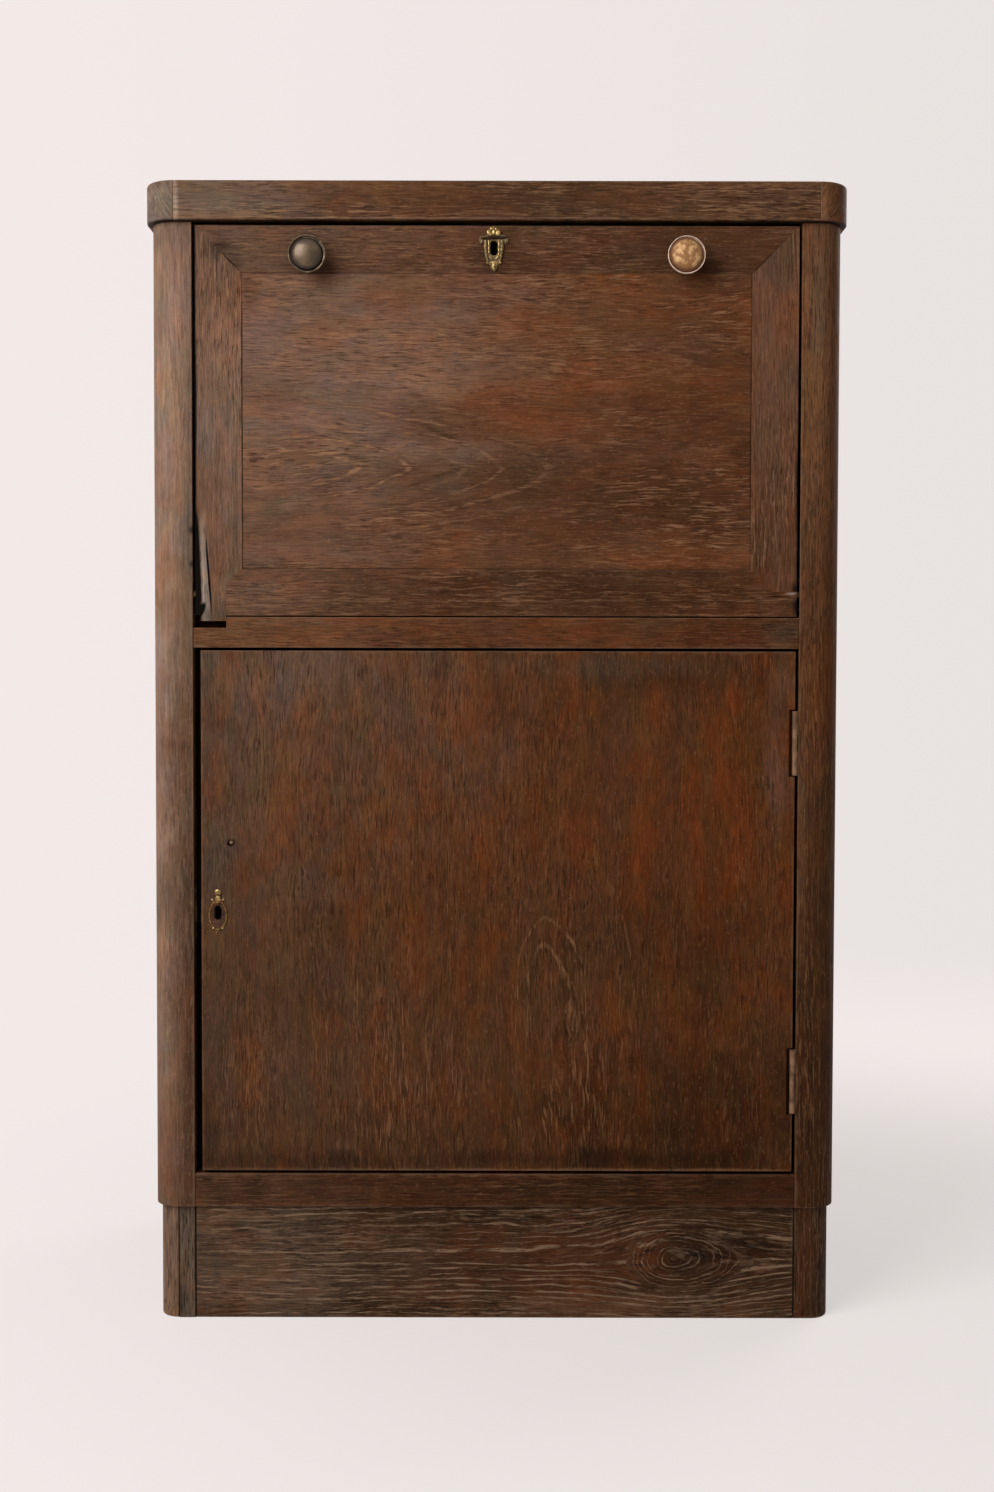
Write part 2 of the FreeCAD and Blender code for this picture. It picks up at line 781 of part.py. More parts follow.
def keyhole(name, centre_x, centre_z, front, back):
    """Make the tool that cuts an upright, round-ended keyhole."""
    straight = "(keyhole_height - keyhole_width)"
    radius = "keyhole_width / 2"
    slot = block(
        f"{name}_slot",
        around(centre_x, "keyhole_width"),
        (front, back),
        around(centre_z, straight),
    )
    ends = [
        rod(f"{name}_{end}", "Y", (centre_x, front, place), radius, f"({back}) - ({front})")
        for end, place in zip(("low", "high"), around(centre_z, straight))
    ]
    return fuse(name, slot, *ends)


PLATE_FRONT = f"({FACE} - escutcheon_thickness)"
flap_key = keyhole("flap_keyhole", FLAP_KEY_X, FLAP_KEY_Z, PLATE_FRONT, f"{FLAP_BACK} - lock_wall")
door_key = keyhole("door_keyhole", DOOR_KEY_X, DOOR_KEY_Z, PLATE_FRONT, f"{DOOR_BACK} - lock_wall")

FLAP_BOLT_Y = f"({FLAP_BACK} - lock_depth / 2)"
flap_case = block(
    "flap_lock_case_box",
    around(FLAP_KEY_X, "flap_lock_width"),
    (f"{FLAP_BACK} - lock_depth", FLAP_BACK),
    (f"{FLAP_HIGH} - flap_lock_height", FLAP_HIGH),
)
flap_bolt_room = block(
    "flap_lock_room",
    around(FLAP_KEY_X, STRIKE_SLOT),
    around(FLAP_BOLT_Y, STRIKE_GAP),
    (f"{FLAP_HIGH} - lock_bolt_length", FLAP_HIGH),
)
keep("flap_lock_case", cut("flap_lock_case", flap_case, flap_bolt_room, flap_key))
flap_bolt = block(
    "flap_lock_bolt_bar",
    around(FLAP_KEY_X, "lock_bolt_width"),
    around(FLAP_BOLT_Y, "lock_bolt_thickness"),
    (f"{FLAP_HIGH} - lock_bolt_length", FLAP_HIGH),
)
flap_talon = block(
    "flap_lock_bolt_talon",
    around(FLAP_KEY_X, "keyhole_width"),
    around(FLAP_BOLT_Y, "lock_bolt_thickness"),
    (f"{FLAP_HIGH} - lock_bolt_length", f"{FLAP_HIGH} - lock_bolt_length / 2"),
)
keep("flap_lock_bolt", cut("flap_lock_bolt", flap_bolt, flap_talon))

flap_strike_plate = block(
    "flap_strike_box",
    around(FLAP_KEY_X, "strike_length"),
    around(FLAP_BOLT_Y, "strike_width"),
    (Z_TOP, f"{Z_TOP} + strike_thickness"),
)
flap_strike_mortise = block(
    "flap_strike_mortise",
    around(FLAP_KEY_X, STRIKE_SLOT),
    around(FLAP_BOLT_Y, STRIKE_GAP),
    (Z_TOP, f"{Z_TOP} + strike_room"),
)
keep("flap_strike", cut("flap_strike", flap_strike_plate, flap_strike_mortise))
keep("top_front_lipping", cut("top_front_lipping", front_lip, flap_strike_plate, flap_strike_mortise))

# Flap bands: mitred, with the left one run through to a tab and the bottom one run through on the right.
LEFT = f"(-{FLAP_HALF})"
TAB_LOW = f"({FLAP_LOW} - tab_drop)"
band_outlines = {
    "top": [
        (LEFT, FLAP_HIGH),
        (f"-{PANEL_HALF}", PANEL_HIGH),
        (PANEL_HALF, PANEL_HIGH),
        (FLAP_HALF, FLAP_HIGH),
    ],
    "left": [
        (LEFT, FLAP_LOW),
        (f"{LEFT} + tab_inset", FLAP_LOW),
        (f"{LEFT} + tab_inset", TAB_LOW),
        (f"{LEFT} + stile_run", TAB_LOW),
        (f"{LEFT} + stile_run", f"{FLAP_LOW} + stile_run"),
        (f"-{PANEL_HALF}", PANEL_LOW),
        (f"-{PANEL_HALF}", PANEL_HIGH),
        (LEFT, FLAP_HIGH),
    ],
    "bottom": [
        (f"{LEFT} + stile_run", FLAP_LOW),
        (FLAP_HALF, FLAP_LOW),
        (FLAP_HALF, f"{FLAP_LOW} + stub_height"),
        (f"{FLAP_HALF} - stub_height", f"{FLAP_LOW} + stub_height"),
        (PANEL_HALF, PANEL_LOW),
        (f"-{PANEL_HALF}", PANEL_LOW),
        (f"{LEFT} + stile_run", f"{FLAP_LOW} + stile_run"),
    ],
    "right": [
        (f"{FLAP_HALF} - stub_height", f"{FLAP_LOW} + stub_height"),
        (FLAP_HALF, f"{FLAP_LOW} + stub_height"),
        (FLAP_HALF, FLAP_HIGH),
        (PANEL_HALF, PANEL_HIGH),
        (PANEL_HALF, PANEL_LOW),
    ],
}
band_tools = {
    "top": [flap_case, flap_key, bolts["left"][0], bolts["right"][0]],
    "left": [straps["left"][0]],
    "bottom": [straps["right"][0]],
    "right": [straps["right"][0]],
}
for place, points in band_outlines.items():
    name = f"flap_band_{place}"
    band = board(name, "XZ", points, FACE, "flap_thickness")
    keep(name, cut(name, band, flap_panel, *band_tools[place]))

# Knobs: a collar, a waisted neck and a rimmed, domed head, turned in one.
HEAD = "(knob_reach - knob_head)"
RIM_IN = "(knob_diameter / 2 - knob_rim)"
DOME = "(knob_diameter / 2 - 2.2 * knob_rim)"
knob_outline = [
    ("0", "-knob_reach"),
    (DOME, "-(knob_reach - knob_dish)"),
    (RIM_IN, "-(knob_reach - knob_dish)"),
    (RIM_IN, "-(knob_reach - knob_dish + knob_rim)"),
    ("knob_diameter / 2", "-(knob_reach - knob_dish + knob_rim)"),
    ("knob_diameter / 2", f"-{HEAD} - knob_rim"),
    ("knob_neck / 2", f"-{HEAD} / 2"),
    ("knob_neck / 2", "-knob_rim * 2.5"),
    ("knob_collar / 2", "-knob_rim * 1.5"),
    ("knob_collar / 2", "0"),
    ("0", "0"),
]
knob_arcs = {
    0: ("knob_dome", 1),
    5: ("knob_flare", -1),
    7: ("knob_collar_round", -1),
}
for side, sign in SIDES:
    name = f"knob_{side}"
    knob = turned(name, knob_outline, knob_arcs, (f"{sign} * {KNOB_X}", FACE, KNOB_Z))
    keep(name, cut(name, knob, bolts[side][0]))

# Escutcheons: pierced plates with a stepped outline, drawn by halves from the foot up.


def escutcheon(name, half, arcs, centre_x, low, width, height, hole):
    """Make a plate from the right half of its outline, given in shares of width and height."""
    right = [(f"{centre_x} + {u} * {width}", f"{low} + {v} * {height}") for u, v in half]
    left = [(f"{centre_x} - {u} * {width}", f"{low} + {v} * {height}") for u, v in reversed(half)]
    count = len(half)
    both = dict(arcs)
    both.update({2 * count - 2 - index: arc for index, arc in arcs.items()})
    plate = board(name, "XZ", right + left, PLATE_FRONT, "escutcheon_thickness", both)
    return cut(name, plate, hole)


flap_half = [
    (0.03, 0.0),
    (0.11, 0.12),
    (0.11, 0.16),
    (0.23, 0.19),
    (0.32, 0.55),
    (0.43, 0.60),
    (0.43, 0.68),
    (0.50, 0.69),
    (0.50, 0.78),
    (0.23, 0.80),
    (0.23, 0.88),
    (0.08, 1.0),
]
keep(
    "flap_escutcheon",
    escutcheon(
        "flap_escutcheon",
        flap_half,
        {3: ("flap_plate_height * 0.9", 1), 10: ("flap_plate_width * 0.26", 1)},
        FLAP_KEY_X,
        FLAP_PLATE_LOW,
        "flap_plate_width",
        "flap_plate_height",
        flap_key,
    ),
)

door_half = [
    (0.04, 0.0),
    (0.13, 0.05),
    (0.13, 0.11),
    (0.34, 0.15),
    (0.36, 0.73),
    (0.35, 0.80),
    (0.16, 0.81),
    (0.15, 0.90),
    (0.15, 0.965),
    (0.05, 1.0),
]
keep(
    "door_escutcheon",
    escutcheon(
        "door_escutcheon",
        door_half,
        {3: ("door_plate_height * 0.74", 1), 8: ("door_plate_width * 0.16", 1)},
        DOOR_KEY_X,
        DOOR_PLATE_LOW,
        "door_plate_width",
        "door_plate_height",
        door_key,
    ),
)

# Door lock: case let into the back of the door, bolt just proud of the edge.
door_case = block(
    "door_lock_case_box",
    (DOOR_LEFT, f"{DOOR_LEFT} + door_lock_width"),
    (f"{DOOR_BACK} - lock_depth", DOOR_BACK),
    around(DOOR_KEY_Z, "door_lock_height"),
)
door_bolt_room = block(
    "door_lock_room",
    (DOOR_LEFT, f"{DOOR_LEFT} + lock_bolt_length"),
    around(BOLT_Y, STRIKE_GAP),
    around(DOOR_KEY_Z, STRIKE_SLOT),
)
keep("door_lock_case", cut("door_lock_case", door_case, door_bolt_room, door_key))
door_bolt = block(
    "door_lock_bolt_bar",
    (f"{DOOR_LEFT} - door_bolt_rest", f"{DOOR_LEFT} + lock_bolt_length"),
    around(BOLT_Y, "lock_bolt_thickness"),
    around(DOOR_KEY_Z, "lock_bolt_width"),
)
door_talon = block(
    "door_lock_bolt_talon",
    around(DOOR_KEY_X, "keyhole_width"),
    around(BOLT_Y, "lock_bolt_thickness"),
    (f"{DOOR_KEY_Z} - lock_bolt_width / 2", DOOR_KEY_Z),
)
keep("door_lock_bolt", cut("door_lock_bolt", door_bolt, door_talon))

# Butt hinges: three knuckles each, on a pin of their own.
AXIS_X = f"({DOOR_RIGHT} - axis_inset)"
BARREL_CLEAR = "(hinge_barrel / 2 + barrel_gap)"
hinge_lows = {
    "upper": f"({DOOR_HIGH} - hinge_inset - hinge_length)",
    "lower": f"({DOOR_LOW} + hinge_inset)",
}
door_tools = []
for place, low in hinge_lows.items():
    end_length = "((hinge_length - knuckle_length) / 2)"
    high = f"{low} + hinge_length"
    middle = (f"{low} + {end_length} + knuckle_gap", f"{high} - {end_length} - knuckle_gap")
    leaf_rows = {
        "door": ((f"{DOOR_RIGHT} - leaf_thickness", DOOR_RIGHT), [middle], "hinge_running"),
        "post": (
            (f"{POST_IN} - leaf_thickness", POST_IN),
            [(low, f"{low} + {end_length}"), (f"{high} - {end_length}", high)],
            "0",
        ),
    }
    for owner, (thick, knuckles, running) in leaf_rows.items():
        name = f"hinge_{place}_{owner}_leaf"
        plate = block(
            f"{name}_plate",
            thick,
            (f"{FACE} + {BARREL_CLEAR}", f"{FACE} + leaf_width"),
            (low, high),
        )
        pieces = [plate]
        for index, (foot, head) in enumerate(knuckles):
            pieces.append(
                block(
                    f"{name}_arm_{index}",
                    thick,
                    (FACE, f"{FACE} + {BARREL_CLEAR}"),
                    (foot, head),
                )
            )
            pieces.append(
                rod(
                    f"{name}_knuckle_{index}",
                    "Z",
                    (AXIS_X, FACE, foot),
                    "hinge_barrel / 2",
                    f"({head}) - ({foot})",
                )
            )
        bore = rod(
            f"{name}_bore",
            "Z",
            (AXIS_X, FACE, low),
            f"hinge_pin / 2 + {running}",
            "hinge_length",
        )
        keep(name, cut(name, fuse(name, *pieces), bore))
        if owner == "door":
            door_tools.append(plate)
    pin = rod(
        f"hinge_{place}_pin_rod",
        "Z",
        (AXIS_X, FACE, low),
        "hinge_pin / 2",
        "hinge_length",
    )
    keep(f"hinge_{place}_pin", pin)
    door_tools.append(
        block(
            f"hinge_{place}_recess",
            (f"{AXIS_X} - {BARREL_CLEAR} - recess_gap + barrel_gap", DOOR_RIGHT),
            (FACE, f"{FACE} + hinge_barrel / 2 + recess_gap"),
            (f"{low} - recess_gap / 2", f"{high} + recess_gap / 2"),
        )
    )

# Door: one flat board, cut for its hinges, lock, keyhole and an old knob hole.
door_board = block("door_board_box", (DOOR_LEFT, DOOR_RIGHT), (FACE, DOOR_BACK), (DOOR_LOW, DOOR_HIGH))
old_hole = rod(
    "door_old_hole",
    "Y",
    (f"{DOOR_LEFT} + old_hole_inset", FACE, f"{DOOR_LOW} + old_hole_rise"),
    "old_hole_diameter / 2",
    "old_hole_depth",
)
keep("door_board", cut("door_board", door_board, door_case, door_key, old_hole, *door_tools))

doc.recompute()

# Nothing is written unless every object is sound.
faults = []
for thing in doc.Objects:
    if "Invalid" in thing.State or "Error" in thing.State:
        faults.append(f"{thing.Label} is {thing.State}")
for name, thing in NODES.items():
    shape = thing.Shape
    if thing.Label != name:
        faults.append(f"{name} is labelled {thing.Label}")
    if shape.isNull() or not shape.isValid() or shape.Volume <= 0:
        faults.append(f"{name} has no sound shape")
    elif len(shape.Solids) != 1:
        faults.append(f"{name} has {len(shape.Solids)} solids")
if faults:
    raise RuntimeError("; ".join(faults))

os.makedirs("parts", exist_ok=True)
for name, thing in NODES.items():
    thing.Shape.exportStep(f"parts/{name}.step")
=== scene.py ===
"""Looks of an old oak cocktail cabinet: stained wood, worn brass and a plain studio."""

import logging
import math
from dataclasses import asdict, dataclass, replace
from enum import Enum
from typing import ClassVar, Iterable, Sequence

import bmesh
import bpy
from mathutils import Matrix, Vector


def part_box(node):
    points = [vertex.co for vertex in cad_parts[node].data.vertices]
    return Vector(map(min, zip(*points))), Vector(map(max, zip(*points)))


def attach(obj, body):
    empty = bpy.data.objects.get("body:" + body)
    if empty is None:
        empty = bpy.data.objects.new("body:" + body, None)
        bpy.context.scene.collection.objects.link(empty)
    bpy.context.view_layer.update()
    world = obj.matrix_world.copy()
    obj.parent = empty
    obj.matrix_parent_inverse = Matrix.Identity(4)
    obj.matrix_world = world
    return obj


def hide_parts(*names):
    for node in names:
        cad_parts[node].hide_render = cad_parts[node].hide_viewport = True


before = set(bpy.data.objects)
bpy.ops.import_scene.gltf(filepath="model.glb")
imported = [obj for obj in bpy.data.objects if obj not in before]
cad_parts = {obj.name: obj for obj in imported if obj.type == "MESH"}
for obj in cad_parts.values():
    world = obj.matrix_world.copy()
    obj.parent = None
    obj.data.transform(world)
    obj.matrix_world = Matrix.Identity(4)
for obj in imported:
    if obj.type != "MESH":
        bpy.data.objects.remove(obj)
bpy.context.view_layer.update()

LOG = logging.getLogger("cabinet")
MM = 0.001
# A reach of ten metres has no end on any board.
ENDLESS = 10.0
WELD = 0.01 * MM
FLAT_ANGLE = math.radians(0.5)
EASE_ANGLE = math.radians(38)
EASE_STEPS = 3
SIDES = ("left", "right")
FORWARD = Vector((0, -1, 0))
BACKWARD = Vector((0, 1, 0))

Socket = bpy.types.NodeSocket
Rgb = tuple[int, int, int]
Colour = tuple[float, float, float, float]
Triple = tuple[float, float, float]
Point = tuple[float, float]


class Body(str, Enum):
    """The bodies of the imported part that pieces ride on."""

    CARCASS = "carcass"
    FLAP = "flap"
    DOOR = "door"


class Slot(str, Enum):
    """The record's material slots."""

    OAK_OUT = "oak_exterior"
    OAK_IN = "oak_interior"
    PLY = "back_ply"
    BRASS = "brass_aged"
    BRONZE = "knob_bronze"
    WORN_BRASS = "knob_worn_brass"
    STEEL = "lock_steel"


class Grain(Enum):
    """How a board's grain runs: the axes along it, across it and into its face."""

    LEVEL = "XZY"
    UPRIGHT = "ZXY"
    UPRIGHT_SIDE = "ZYX"
    FLAT = "XYZ"
    DEEP = "YZX"


def tint(red: int, green: int, blue: int) -> Colour:
    """Turns a colour as a screen shows it into the linear one that a shader takes.

    Args:
        red: Red, from 0 to 255.
        green: Green, from 0 to 255.
        blue: Blue, from 0 to 255.

    Returns:
        The linear colour with an alpha of one.
    """
    linear = []
    for level in (red, green, blue):
        share = level / 255
        linear.append(share / 12.92 if share <= 0.04045 else ((share + 0.055) / 1.055) ** 2.4)
    return (*linear, 1.0)


class Value:
    """A shader socket that sums can be written with, as with a number."""

    def __init__(self, graph: "Graph", socket: Socket) -> None:
        """Keeps the socket and the tree that it is in."""
        self.graph = graph
        self.socket = socket

    def __add__(self, other: "Term") -> "Value":
        """This and another together."""
        return self.graph.math("ADD", self, other)

    def __sub__(self, other: "Term") -> "Value":
        """This less another."""
        return self.graph.math("SUBTRACT", self, other)

    def __rsub__(self, other: float) -> "Value":
        """A number less this."""
        return self.graph.math("SUBTRACT", other, self)

    def __mul__(self, other: "Term") -> "Value":
        """This times another."""
        return self.graph.math("MULTIPLY", self, other)

    def __truediv__(self, other: "Term") -> "Value":
        """This over another."""
        return self.graph.math("DIVIDE", self, other)

    def __rtruediv__(self, other: float) -> "Value":
        """A number over this."""
        return self.graph.math("DIVIDE", other, self)


Term = Value | float | Sequence[float]


@dataclass(frozen=True)
class Speck:
    """Noise drawn out along the grain and cut by a soft step.

    It has so many waves to the metre along the grain and across it, and is zero at low and one at high.
    Finer layers roughen it, and the shift keeps two kinds from falling together.
    """

    along: float
    across: float
    low: float
    high: float
    layers: float = 2.0
    harsh: float = 0.6
    shift: float = 0.0


class Graph:
    """Short calls that place and wire the nodes of one shader tree."""

    def __init__(self, tree: bpy.types.NodeTree) -> None:
        """Keeps the tree that the calls work on."""
        self.tree = tree

    def node(self, kind: str, **settings: object) -> bpy.types.Node:
        """Places one node.

        Args:
            kind: The node's type name.
            settings: Attributes to set on it.

        Returns:
            The new node.
        """
        made = self.tree.nodes.new(kind)
        for name, value in settings.items():
            setattr(made, name, value)
        return made

    def feed(self, socket: Socket, term: Term) -> None:
        """Links a socket to a value, or writes a plain number, vector or colour on it.

        Args:
            socket: The socket to feed.
            term: What feeds it.
        """
        if isinstance(term, Value):
            self.tree.links.new(term.socket, socket)
        else:
            socket.default_value = term

    def value(
        self, kind: str, inputs: dict[str | int, Term], output: str | int = 0, **settings: object
    ) -> Value:
        """Places one node, feeds it and gives one of its outputs.

        Args:
            kind: The node's type name.
            inputs: What feeds its inputs, by name or number.
            output: Which output to give, by name or number.
            settings: Attributes to set on the node.

        Returns:
            The output's value.
        """
        made = self.node(kind, **settings)
        for key, term in inputs.items():
            self.feed(made.inputs[key], term)
        return Value(self, made.outputs[output])

    def math(self, operation: str, *terms: Term) -> Value:
        """Works out one sum of numbers, such as MAXIMUM."""
        return self.value("ShaderNodeMath", dict(enumerate(terms)), operation=operation)

    def vector(self, operation: str, *terms: Term) -> Value:
        """Works out one sum of vectors."""
        output = "Value" if operation in ("LENGTH", "DISTANCE") else "Vector"
        return self.value("ShaderNodeVectorMath", dict(enumerate(terms)), output, operation=operation)

    def split(self, vector: Term) -> list[Value]:
        """Takes a vector apart.

        Args:
            vector: The vector.

        Returns:
            Its three numbers.
        """
        made = self.node("ShaderNodeSeparateXYZ")
        self.feed(made.inputs[0], vector)
        return [Value(self, output) for output in made.outputs]

    def join(self, *parts: Term) -> Value:
        """Makes a vector of three numbers."""
        return self.value("ShaderNodeCombineXYZ", dict(enumerate(parts)))

    def scale(self, vector: Term, factor: Term) -> Value:
        """Makes a colour or vector larger by a factor."""
        return self.value("ShaderNodeVectorMath", {0: vector, "Scale": factor}, operation="SCALE")

    def noise(self, place: Term, stretch: Triple, layers: float = 2.0, harsh: float = 0.5) -> Value:
        """Smooth noise, with so many waves to the metre on each axis.

        Args:
            place: Where on the object.
            stretch: Waves to the metre along the three axes.
            layers: How many finer layers are added.
            harsh: How strong the finer layers are.

        Returns:
            A number about one half.
        """
        scaled = self.vector("MULTIPLY", place, stretch)
        inputs = {"Vector": scaled, "Scale": 1.0, "Detail": layers, "Roughness": harsh}
        return self.value("ShaderNodeTexNoise", inputs, "Fac")

    def step(self, value: Term, low: Term, high: Term) -> Value:
        """A soft step from zero at low to one at high."""
        inputs = {"Value": value, "From Min": low, "From Max": high}
        return self.value("ShaderNodeMapRange", inputs, "Result", interpolation_type="SMOOTHSTEP")

    def specks(self, place: Value, speck: Speck) -> Value:
        """Masks the specks of one kind.

        Args:
            place: Where in the board.
            speck: The kind.

        Returns:
            One on a speck.
        """
        if speck.shift:
            place = self.vector("ADD", place, (speck.shift,) * 3)
        stretch = (speck.along, speck.across, speck.across)
        return self.step(self.noise(place, stretch, speck.layers, speck.harsh), speck.low, speck.high)

    def mix(self, share: Term, first: Term, second: Term, blend: str = "MIX") -> Value:
        """Mixes two colours: the first at a share of zero, the second at one."""
        inputs = {0: share, 6: first, 7: second}
        return self.value("ShaderNodeMix", inputs, 2, data_type="RGBA", blend_type=blend)

    def blend(self, share: Term, first: float, second: float) -> Value:
        """Mixes two plain numbers."""
        inputs = {"Value": share, "To Min": first, "To Max": second}
        return self.value("ShaderNodeMapRange", inputs, "Result")

    def coordinate(self, kind: str) -> Value:
        """The place on the object, or the way that its face looks."""
        return self.value("ShaderNodeTexCoord", {}, kind)


class Effect:
    """A shader node group that several finishes share, built once."""

    title: ClassVar[str] = ""
    takes: ClassVar[dict[str, float | Triple]] = {}

    def __init__(self) -> None:
        """Makes the group's sockets and wires its inside."""
        self.tree = bpy.data.node_groups.new(self.title, "ShaderNodeTree")
        for name, default in self.takes.items():
            kind = "Vector" if isinstance(default, tuple) else "Float"
            self.socket(name, "INPUT", kind).default_value = default
        self.graph = Graph(self.tree)
        entry = self.graph.node("NodeGroupInput")
        self.taken = {name: Value(self.graph, entry.outputs[name]) for name in self.takes}
        given = self.wire()
        self.gives = tuple(given)
        for name in self.gives:
            self.socket(name, "OUTPUT", "Float")
        leave = self.graph.node("NodeGroupOutput")
        for name, value in given.items():
            self.graph.feed(leave.inputs[name], value)

    def socket(self, name: str, way: str, kind: str) -> bpy.types.NodeTreeInterfaceSocket:
        """Adds one socket to the group."""
        return self.tree.interface.new_socket(name=name, in_out=way, socket_type=f"NodeSocket{kind}")

    def wire(self) -> dict[str, Value]:
        """Wires the group's inside and gives its outputs; each effect has its own."""
        raise NotImplementedError

    def use(self, graph: Graph, **terms: Term) -> dict[str, Value]:
        """Places the group in a material.

        Args:
            graph: The material's tree.
            terms: What feeds each of the group's inputs.

        Returns:
            The group's outputs by name.
        """
        made = graph.node("ShaderNodeGroup", node_tree=self.tree)
        for name, term in terms.items():
            graph.feed(made.inputs[name], term)
        return {name: Value(graph, made.outputs[name]) for name in self.gives}


class OakGrain(Effect):
    """Growth rings, fibres, pores, flecks and slow changes of tone in a sawn oak board."""

    title = "Oak grain"
    takes = {
        "Place": (0, 0, 0),
        "Spacing": 0.006,
        "Wander": 0.03,
        "Seed": 0.0,
        "Arch Middle": 0.0,
        "Arch Foot": 0.0,
        "Arch Tilt": 0.0,
        "Knot Push": 0.0,
        "Knot Rings": 0.0,
        "Knot Mask": 0.0,
        "Knot Calm": 0.0,
    }
    SEED_STEP = (1.7, 3.1, 0.9)
    SLOW_SWAY = (1.5, 7, 7)
    QUICK_SWAY = (9, 38, 38)
    QUICK_SHARE = 0.34
    # Rings this far apart have lines of the usual width.
    LINE_SPACING = 6 * MM
    LINE_WIDTH = (0.16, 0.4)
    LINE_SOFTNESS = 0.3
    KNOT_THINNING = 0.12
    KNOT_BREAKS = 0.3
    LEAST_CHANCE = 0.35
    POINTED = 0.4
    UNEVEN = 2.4
    BREAKS = Speck(44, 460, 0.4, 0.6, harsh=0.7)
    ZONES = Speck(6, 20, 0.4, 0.62, 3.0)
    ON_BOARD = {
        "Flecks": Speck(170, 420, 0.6, 0.7),
        "Mottle": Speck(42, 95, 0.3, 0.7, 5.0, 0.68),
        "Tone": Speck(2.6, 6.5, 0.36, 0.64, 5.0),
    }
    ON_FIBRES = {
        "Streaks": Speck(40, 520, 0.32, 0.68, 3.0, 0.72),
        "Dashes": Speck(46, 540, 0.53, 0.62),
        "Pores": Speck(54, 620, 0.54, 0.63),
        "Bands": Speck(4, 44, 0.38, 0.68, 4.0),
        "Cold": Speck(15, 34, 0.47, 0.61, 6.0, 0.62, 2.3),
        "Olive": Speck(17, 40, 0.47, 0.61, 6.0, 0.62, 5.9),
        "Ember": Speck(13, 31, 0.47, 0.61, 6.0, 0.62, 8.4),
    }

    def wire(self) -> dict[str, Value]:
        """Wires the rings as circles round a slanting pith, and the finer marks along the fibres.

        Returns:
            The masks by name.
        """
        graph, taken = self.graph, self.taken
        offset = graph.scale(self.SEED_STEP, taken["Seed"])
        place = graph.vector("ADD", taken["Place"], offset)
        along, across, into = graph.split(taken["Place"])
        slow = graph.noise(place, self.SLOW_SWAY) - 0.5
        quick = graph.noise(place, self.QUICK_SWAY, 3.0, 0.6) - 0.5
        sway = (quick * self.QUICK_SHARE + slow) * (1.0 - taken["Knot Calm"])
        fibre = sway * taken["Wander"] + across + taken["Knot Push"]
        shifted = graph.vector("ADD", graph.join(along, fibre, into), offset)
        marks = {name: graph.specks(place, speck) for name, speck in self.ON_BOARD.items()}
        marks |= {name: graph.specks(shifted, speck) for name, speck in self.ON_FIBRES.items()}
        count = self.ring_count(along, fibre)
        ridge = graph.math("PINGPONG", count, 0.5) * 2.0
        ring = {"W": graph.math("FLOOR", count)}
        drawn = graph.value("ShaderNodeTexWhiteNoise", ring, "Value", noise_dimensions="1D")
        chance = drawn * (1 - self.LEAST_CHANCE) + self.LEAST_CHANCE
        whole = taken["Knot Mask"] * self.KNOT_BREAKS
        broken = graph.math("MAXIMUM", graph.specks(shifted, self.BREAKS), whole)
        fine = self.LINE_SPACING / taken["Spacing"]
        least, more = self.LINE_WIDTH
        width = (chance * more + least) * fine - taken["Knot Mask"] * self.KNOT_THINNING
        start = 1.0 - width
        lines = graph.step(ridge, start, fine * self.LINE_SOFTNESS + start)
        zone = graph.specks(place, self.ZONES) * 0.8 + 0.2
        marks["Dashes"] = marks["Dashes"] * (ridge * 0.5 + 0.5) * zone
        marks["Pores"] = marks["Pores"] * (zone * 0.6 + 0.4)
        marks["Rings"] = graph.step(ridge, 0.2, 0.9) * chance
        marks["Lines"] = lines * (broken * chance)
        return marks

    def ring_count(self, along: Value, fibre: Value) -> Value:
        """Counts the growth rings out from the pith, at uneven steps.

        Args:
            along: The place along the board.
            fibre: The place across it, following the fibres.

        Returns:
            The number of rings.
        """
        graph, taken = self.graph, self.taken
        side = fibre - taken["Arch Middle"]
        depth = graph.math("MAXIMUM", along - taken["Arch Foot"], 0.0) * taken["Arch Tilt"]
        point = graph.math("ABSOLUTE", side) * self.POINTED
        square = depth * point + (depth * depth + side * side)
        count = graph.math("SQRT", square) / taken["Spacing"]
        uneven = graph.noise(graph.join(count, taken["Seed"], 0.0), (0.37, 1, 1), 2.0, 0.6)
        count = uneven * self.UNEVEN + count
        inputs = {"Factor": taken["Knot Mask"], "A": count, "B": taken["Knot Rings"]}
        return graph.value("ShaderNodeMix", inputs, "Result")


